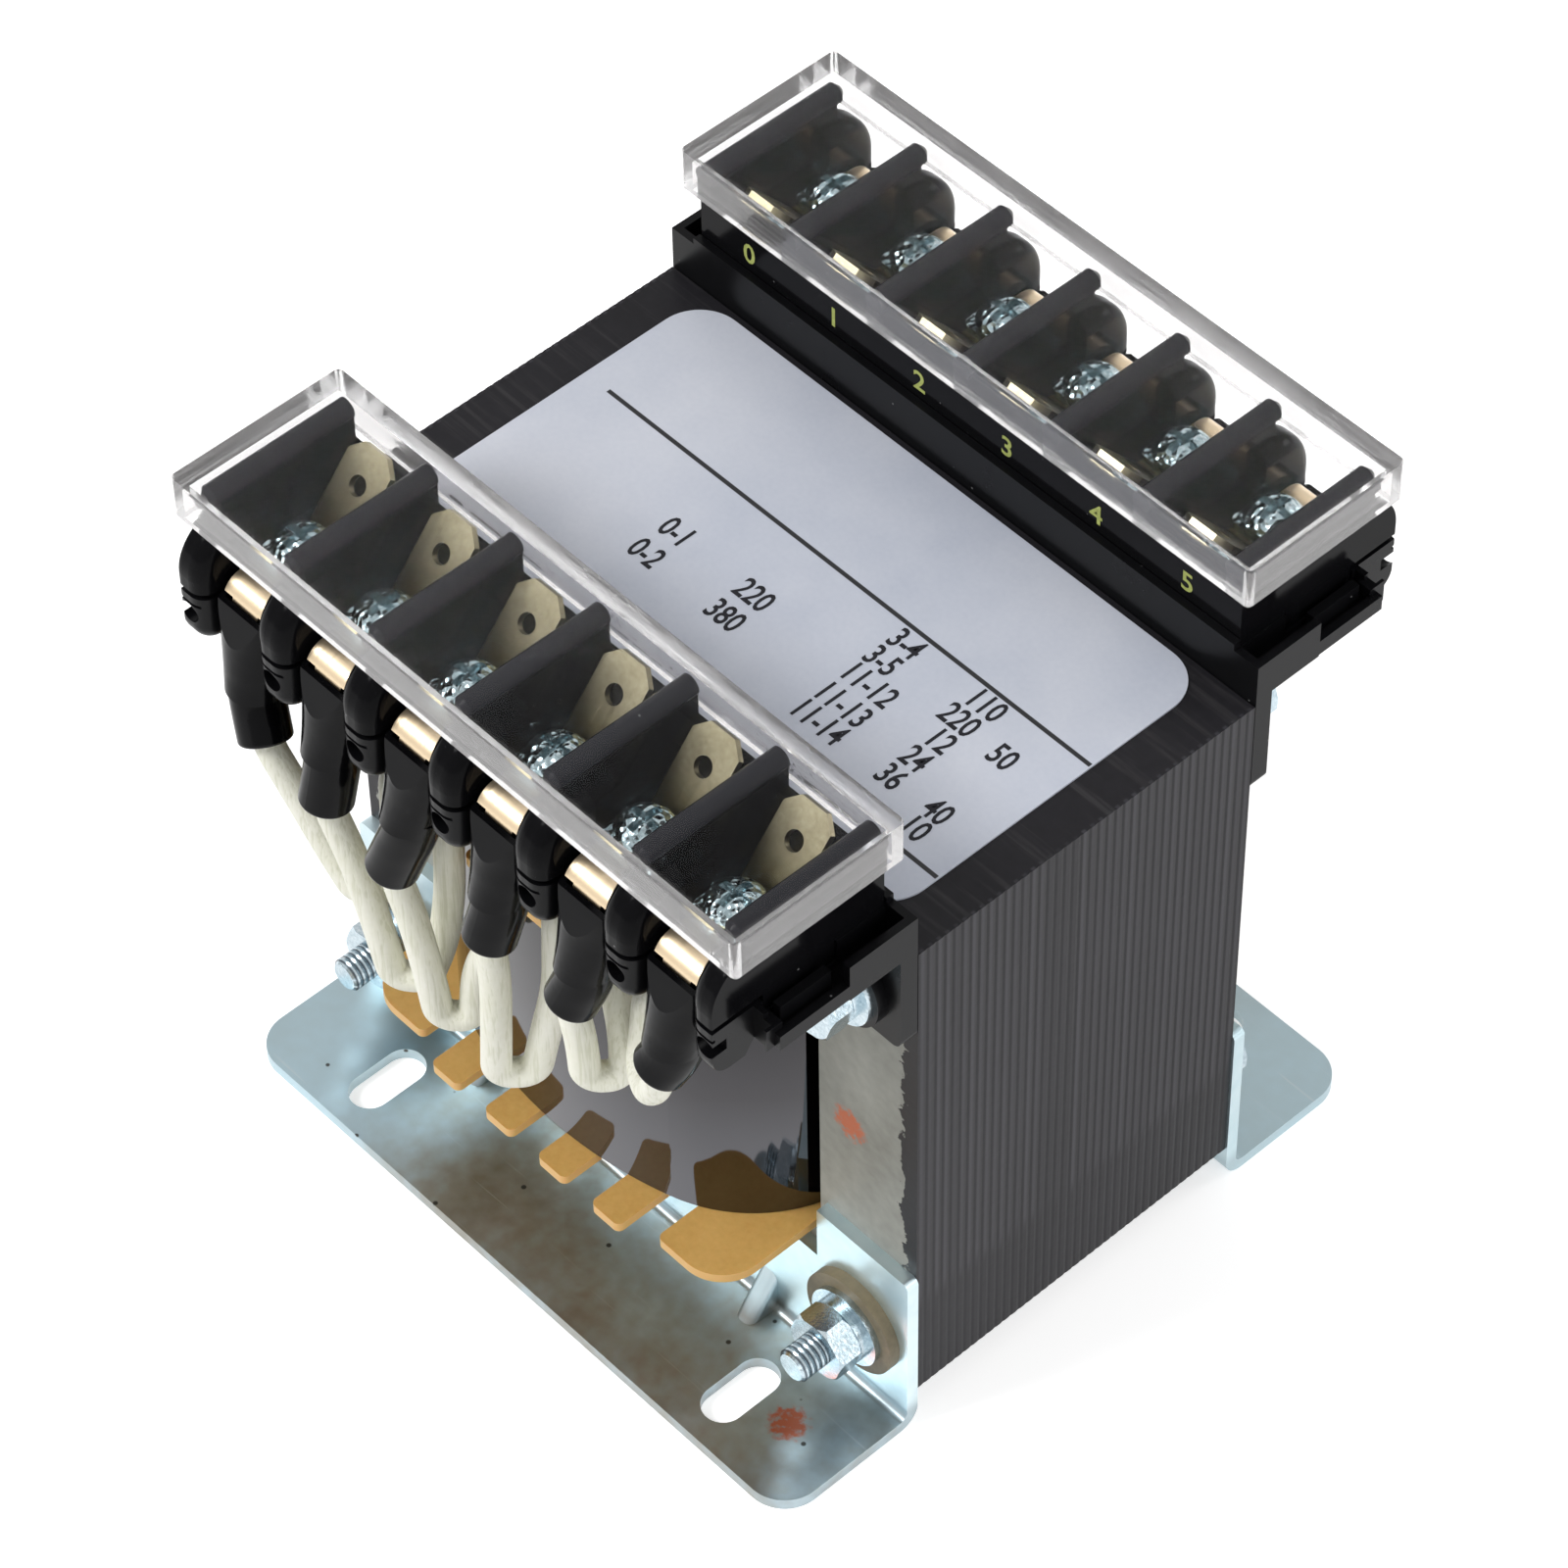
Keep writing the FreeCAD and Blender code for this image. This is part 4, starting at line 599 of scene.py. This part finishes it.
def bright_zinc(name, threaded=False, facets=0.0):
    """Blue-white zinc: plain, with a thread and painted shade in its troughs on the tail, or
    broken up into small facets.
    """
    material, tree = new_material(name)
    mask = add_mottle(tree, 300.0, 2500.0, 0.5)
    shades = FACET_SHADES if facets else ZINC_SHADES
    colour = ramp(tree, mask, list(zip((0.3, 0.55, 0.75), shades)))
    if threaded:
        y = object_place(tree)[1]
        turns = math_node(tree, "PINGPONG", math_node(tree, "DIVIDE", y, THREAD_PITCH), 0.5)
        tail = step_up(tree, y, -NUT_FRONT, -NUT_FRONT - 0.3)
        height = math_node(tree, "MULTIPLY", turns, tail)
        # Painted shade: the troughs between the turns of thread are darkened.
        painted_thread_shade = both(tree, tail, step_up(tree, turns, 0.25, 0.05))
        colour = blend_colours(tree, painted_thread_shade, colour, srgb(92, 102, 110))
        relief = bump(tree, height, 0.0005, 1.0)
    elif facets:
        relief = bump(tree, cell_distance(tree, facets), 0.0004, 0.9)
    else:
        relief = bump(tree, mask, 0.0001, 0.4)
    finish_surface(tree, {"Roughness": 0.22, "Metallic": 1.0},
                   {"Base Color": colour, "Normal": relief})
    return material


dress(bright_zinc("bolt_zinc", threaded=True), "core_bolts")
dress(bright_zinc("nut_zinc"), "core_nuts", "core_flat_washers", "core_spring_washers")
dress(bright_zinc("screw_zinc", facets=SCREW_FACETS),
      *both_ends("terminal_screws", "clamp_washers"))
print("thread pitch", THREAD_PITCH, "mm")

# %% [markdown]
# Carriers and blocks are black moulded plastic, satin and a little uneven, with a few
# pale dust specks. The level of gloss is set low, because a white room would otherwise
# turn black plastic grey. The blocks are smoother, so that their lobes and beads catch
# crisp lights while the bays mirror each other and stay dark. The tops of the beads carry
# a painted highlight, a shade lighter than the rest.

# %% Black mouldings
BEAD_HEIGHT = (89.0, 90.6)


def black_material(name, gloss, roughest, wear_and_highlight):
    """Black plastic whose highest parts, the tops of the beads, take a painted highlight colour.
    """
    material, tree = new_material(name)
    mask = add_mottle(tree, 90.0, 500.0, 0.15)
    colour = ramp(tree, mask, [(0.3, srgb(11, 11, 13)), (0.7, srgb(17, 17, 19))])
    # Painted highlight: everything above the bead height is lightened.
    bead_top_highlight = step_up(tree, object_place(tree)[2], *BEAD_HEIGHT)
    colour = blend_colours(tree, bead_top_highlight, colour, wear_and_highlight)
    dust = step_up(tree, cell_distance(tree, 330.0), 0.05, 0.03)
    colour = blend_colours(tree, dust, colour, srgb(112, 112, 112))
    finish_surface(tree, {"Specular IOR Level": gloss}, {
        "Base Color": colour, "Roughness": remap(tree, mask, roughest * 0.6, roughest),
        "Normal": bump(tree, mask, 0.0001, 0.06)})
    return material


dress(black_material("black_carrier", 0.11, 0.36, srgb(23, 23, 26)),
      *both_ends("terminal_carrier"))
dress(black_material("black_block", 0.05, 0.16, srgb(44, 44, 48)),
      *both_ends("terminal_block"))

# %% [markdown]
# The terminal strips are pale brass. Painted shade turns them olive low on the blades, deep
# in the bays, and a painted highlight makes them bright where the solder tabs bend down.

# %% Brass strips
PAINTED_BAY_SHADE = (88.0, 82.5)
BEND_OUT = (39.5, 41.0)
BEND_UP = (79.0, 80.5)


def brass_material():
    """Pale brass, with painted olive shade at the blades' roots and a painted highlight on the
    tabs' bends.
    """
    material, tree = new_material("terminal_brass")
    mask = add_mottle(tree, 180.0, 1800.0, 0.35)
    flat = ramp(tree, mask, [(0.3, srgb(138, 130, 104)), (0.7, srgb(182, 174, 146))])
    y, z = object_place(tree)[1:]
    # Painted shade: the blades turn olive low down, deep in the bays.
    colour = blend_colours(tree, step_up(tree, z, *PAINTED_BAY_SHADE), flat, srgb(84, 76, 50))
    # Painted highlight: the tabs' bends are lightened.
    painted_bend_highlight = both(tree, step_up(tree, math_node(tree, "ABSOLUTE", y), *BEND_OUT),
                step_up(tree, z, *BEND_UP))
    colour = blend_colours(tree, painted_bend_highlight, colour, srgb(240, 218, 184))
    grain = stretched_noise(tree, 1500.0, (1.0, 0.08, 0.08))
    finish_surface(tree, {"Roughness": 0.3, "Metallic": 1.0},
                   {"Base Color": colour, "Normal": bump(tree, grain, 0.00008, 0.4)})
    return material


dress(brass_material(), *both_ends("terminal_strips"))

# %% [markdown]
# The sleeves are shrunk black tubing, smoother than the mouldings, with soft creases
# across them where the tubing drew in.


# %% Heat-shrink sleeves
def shrink_material():
    """Smooth black tubing with soft creases."""
    material, tree = new_material("heat_shrink")
    mask = add_mottle(tree, 150.0, 1500.0, 0.2)
    colour = ramp(tree, mask, [(0.3, srgb(8, 8, 10)), (0.7, srgb(13, 13, 15))])
    crease = stretched_noise(tree, 160.0, (0.6, 0.6, 1.4), 1.0)
    finish_surface(tree, {"Roughness": 0.14, "Specular IOR Level": 0.1},
                   {"Base Color": colour, "Normal": bump(tree, crease, 0.0004, 0.3)})
    return material


dress(shrink_material(), *both_ends("heat_shrink_sleeves"))

# %% [markdown]
# The leads wear braided glass-fibre sleeving, cream with painted olive shade in the hollows.
# The braid shows as fine lines along the lead, so noise is drawn out along Z, the way the
# leads hang, and also lifts the surface a little.

# %% Lead sleeving
POLES = 6


def braid_material():
    """Cream braid with painted olive shade in the lines along the lead."""
    material, tree = new_material("lead_sleeving")
    lines = stretched_noise(tree, 2600.0, (1.0, 1.0, 0.05), 2.0)
    cloud = add_mottle(tree, 140.0, 1200.0, 0.3)
    colour = ramp(tree, cloud, [(0.3, srgb(240, 240, 222)), (0.7, srgb(251, 250, 239))])
    # Painted shade: the braid's hollows are darkened towards olive.
    painted_hollow_shade = math_node(tree, "MULTIPLY", step_up(tree, lines, 0.5, 0.34), 0.35)
    colour = blend_colours(tree, painted_hollow_shade, colour, srgb(196, 197, 166))
    finish_surface(tree, {"Roughness": 0.5, "Specular IOR Level": 0.35},
                   {"Base Color": colour, "Normal": bump(tree, lines, 0.0002, 0.45)})
    return material


dress(braid_material(), *both_ends(*[f"lead_{pole}" for pole in range(1, POLES + 1)]))

# %% [markdown]
# Some pieces hardly show: the fibre washers, the bolts' tubes and the windings. They get
# plainer materials, each still a mottle between two shades.


# %% Hidden and small pieces
def two_shade_material(name, dark, light, roughness, metallic=0.0):
    """A mottle between two shades."""
    material, tree = new_material(name)
    mask = add_mottle(tree, 80.0, 1400.0, 0.3)
    colour = ramp(tree, mask, [(0.3, dark), (0.7, light)])
    finish_surface(tree, {"Roughness": roughness, "Metallic": metallic},
                   {"Base Color": colour, "Normal": bump(tree, mask, 0.0001, 0.4)})
    return material


dress(two_shade_material("fibre_washer", srgb(96, 86, 64), srgb(134, 120, 92), 0.5),
      "core_insulating_washers")
dress(two_shade_material("bolt_tube", srgb(190, 180, 150), srgb(210, 200, 170), 0.6),
      "core_bolt_tubes")
dress(two_shade_material("winding_copper", (0.4, 0.14, 0.05, 1), (0.6, 0.25, 0.1, 1), 0.35, 1.0),
      "primary_winding", "secondary_winding")
dress(two_shade_material("winding_paper", srgb(200, 190, 150), srgb(215, 205, 170), 0.8),
      "winding_insulation")

# %% [markdown]
# The plate on the core is a silvery label with a soft lavender sheen. Its print is kept to
# what any such plate could carry: two rules, and columns of plain numbers. The rules are
# part of the material. The numbers are text turned into mesh, laid just above the plate.

# %% Rating plate
RULE_MIDDLE = 1.7
RULE_HALF_LENGTH = 34.8
RULE_HALF_WIDTH = 0.3
RULE_PLACES = (5.6, -14.8)


def plate_material():
    """Silvery plate with the two printed rules."""
    material, tree = new_material("plate_silver")
    x, y = object_place(tree)[:2]
    cloud = add_mottle(tree, 22.0, 1600.0, 0.1)
    colour = ramp(tree, cloud, [(0.35, srgb(188, 194, 208)), (0.65, srgb(214, 217, 226))])
    from_middle = math_node(tree, "ABSOLUTE", math_node(tree, "SUBTRACT", x, RULE_MIDDLE))
    length = step_up(tree, from_middle, RULE_HALF_LENGTH, RULE_HALF_LENGTH - 0.1)
    for height in RULE_PLACES:
        away = math_node(tree, "ABSOLUTE", math_node(tree, "SUBTRACT", y, height))
        rule = both(tree, length, step_up(tree, away, RULE_HALF_WIDTH, RULE_HALF_WIDTH - 0.08))
        colour = blend_colours(tree, rule, colour, srgb(30, 30, 34))
    finish_surface(tree, {"Roughness": 0.32, "Specular IOR Level": 0.4},
                   {"Base Color": colour, "Normal": bump(tree, cloud, 0.0004, 0.15)})
    return material


dress(plate_material(), "rating_plate")
PLATE_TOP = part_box("rating_plate")[1][2]
print("plate top", round(PLATE_TOP, 5), "m")

# %% [markdown]
# Each number is written as text, turned into a flat mesh and joined with its neighbours,
# so all the print of one surface is one piece. On the plate, a narrow scale across the
# figures gives them the tall, condensed look of machine print.

# %% Plain numbers
PRINT_LIFT = 0.03 * MM
INK_SWELL = 0.016
PLATE_NUMBER_HEIGHT = 3.9 * MM
PLATE_NUMBER_WIDTH = 0.72


def ink_material(name, dark, light):
    """Matt ink, a little uneven."""
    material, tree = new_material(name)
    colour = ramp(tree, add_mottle(tree, 400.0, 2500.0, 0.5), [(0.3, dark), (0.7, light)])
    finish_surface(tree, {"Roughness": 0.6, "Specular IOR Level": 0.2}, {"Base Color": colour})
    return material


def print_numbers(name, entries, height, turn):
    """Numbers as one flat mesh. Each entry is the words and the place of their middle."""
    meshes = bmesh.new()
    for words, place in entries:
        curve = bpy.data.curves.new(name, "FONT")
        curve.body = words
        curve.size = height
        curve.align_x = "CENTER"
        curve.align_y = "CENTER"
        curve.resolution_u = 3
        curve.offset = height * INK_SWELL
        holder = bpy.data.objects.new(name, curve)
        bpy.context.scene.collection.objects.link(holder)
        evaluated = holder.evaluated_get(bpy.context.evaluated_depsgraph_get())
        flat = bpy.data.meshes.new_from_object(evaluated)
        flat.transform(Matrix.Translation(place) @ turn)
        meshes.from_mesh(flat)
        bpy.data.objects.remove(holder)
        bpy.data.meshes.remove(flat)
    mesh = bpy.data.meshes.new(name)
    meshes.to_mesh(mesh)
    meshes.free()
    piece = bpy.data.objects.new(name, mesh)
    bpy.context.scene.collection.objects.link(piece)
    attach(piece, "root")
    return piece


PLATE_NUMBERS = [
    ("0-1", -13.6, -2.7), ("0-2", -13.6, -6.8), ("220", -2.1, -2.9), ("380", -2.1, -6.8),
    ("3-4", 12.9, 3.5), ("3-5", 12.9, 0.3),
    ("11-12", 14.3, -2.8), ("11-13", 14.4, -6.4), ("11-14", 14.4, -9.6),
    ("110", 24.0, 3.6), ("220", 23.6, 0.4),
    ("12", 24.3, -2.8), ("24", 24.3, -6.1), ("36", 24.3, -9.4),
    ("50", 29.9, 0.1), ("40", 30.6, -9.2), ("10", 30.6, -12.2),
]
lay_flat = Matrix.Diagonal((PLATE_NUMBER_WIDTH, 1.0, 1.0, 1.0))
plate_entries = [(words, Vector((x * MM, y * MM, PLATE_TOP + PRINT_LIFT)))
                 for words, x, y in PLATE_NUMBERS]
plate_print = print_numbers(
    "plate_numbers", plate_entries, PLATE_NUMBER_HEIGHT, lay_flat)
plate_print.data.materials.append(ink_material("plate_ink", srgb(28, 28, 32), srgb(44, 44, 50)))
print("numbers on the plate:", len(PLATE_NUMBERS), "triangles:", len(plate_print.data.polygons))

# %% [markdown]
# The inner wall of each terminal block carries a pale green number at every pole. The
# same helper stands them up on the wall, one run for the front block and one for the rear.

# %% Pole numbers
POLE_PITCH = 12.5
POLE_NUMBER_HEIGHT = 3.6 * MM
POLE_NUMBER_LEVEL = 83.4 * MM
WALL_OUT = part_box("rear_terminal_block")[0][1] - PRINT_LIFT
stand_up = Matrix.Rotation(math.radians(90), 4, "X")
for end, sign in (("rear", 1), ("front", -1)):
    entries = []
    for pole in range(POLES):
        along = sign * POLE_PITCH * (pole - (POLES - 1) / 2) * MM
        entries.append((str(pole), Vector((along, sign * WALL_OUT, POLE_NUMBER_LEVEL))))
    facing = stand_up if sign == 1 else Matrix.Rotation(math.radians(180), 4, "Z") @ stand_up
    poles = print_numbers(
        f"{end}_pole_numbers", entries, POLE_NUMBER_HEIGHT, facing)
    ink = ink_material(f"{end}_pole_ink", srgb(150, 160, 84), srgb(196, 204, 120))
    poles.data.materials.append(ink)
    print(end, "pole numbers stand at y", round(sign * WALL_OUT, 5))

# %% [markdown]
# The covers are clear plastic. Their walls are modelled as real clear sheet, which bends
# light into bright bands, and rubbing has left them milky in streaks that run along the
# wall. The flat top would lay a grey veil of reflected room over the black bays, so most
# rays pass it straight, by a low Alpha on the level faces.

# %% Clear covers
TOP_SHEET = (91.0, 91.2)
SHEET_VEIL = 0.03
SMOOTHEST = 0.015
MILKIEST = 0.2
RUBBED_LEAST = 0.12


def clear_material():
    """Clear plastic: smooth level faces, and walls that rubbing made milky in streaks."""
    material, tree = new_material("clear_cover")
    scratch = step_up(tree, stretched_noise(tree, 500.0, (1.0, 0.06, 1.0), 2.0), 0.62, 0.75)
    level = step_up(tree, facing_up(tree), 0.5, 0.6)
    sheet = both(tree, level, step_up(tree, object_place(tree)[2], *TOP_SHEET))
    streak = step_up(tree, stretched_noise(tree, 1300.0, (0.02, 0.02, 1.0), 1.0), 0.5, 0.6)
    wear_and_highlight = math_node(tree, "MULTIPLY_ADD", streak, 1 - RUBBED_LEAST, RUBBED_LEAST)
    milky = both(tree, wear_and_highlight, step_up(tree, level, 0.5, 0.0))
    finish_surface(tree, {
        "Base Color": (0.98, 0.965, 0.965, 1), "IOR": 1.49, "Transmission Weight": 0.93}, {
        "Alpha": remap(tree, sheet, 1.0, SHEET_VEIL),
        "Roughness": remap(tree, milky, SMOOTHEST, MILKIEST),
        "Normal": bump(tree, scratch, 0.00005, 0.2)})
    return material


dress(clear_material(), *both_ends("cover"))
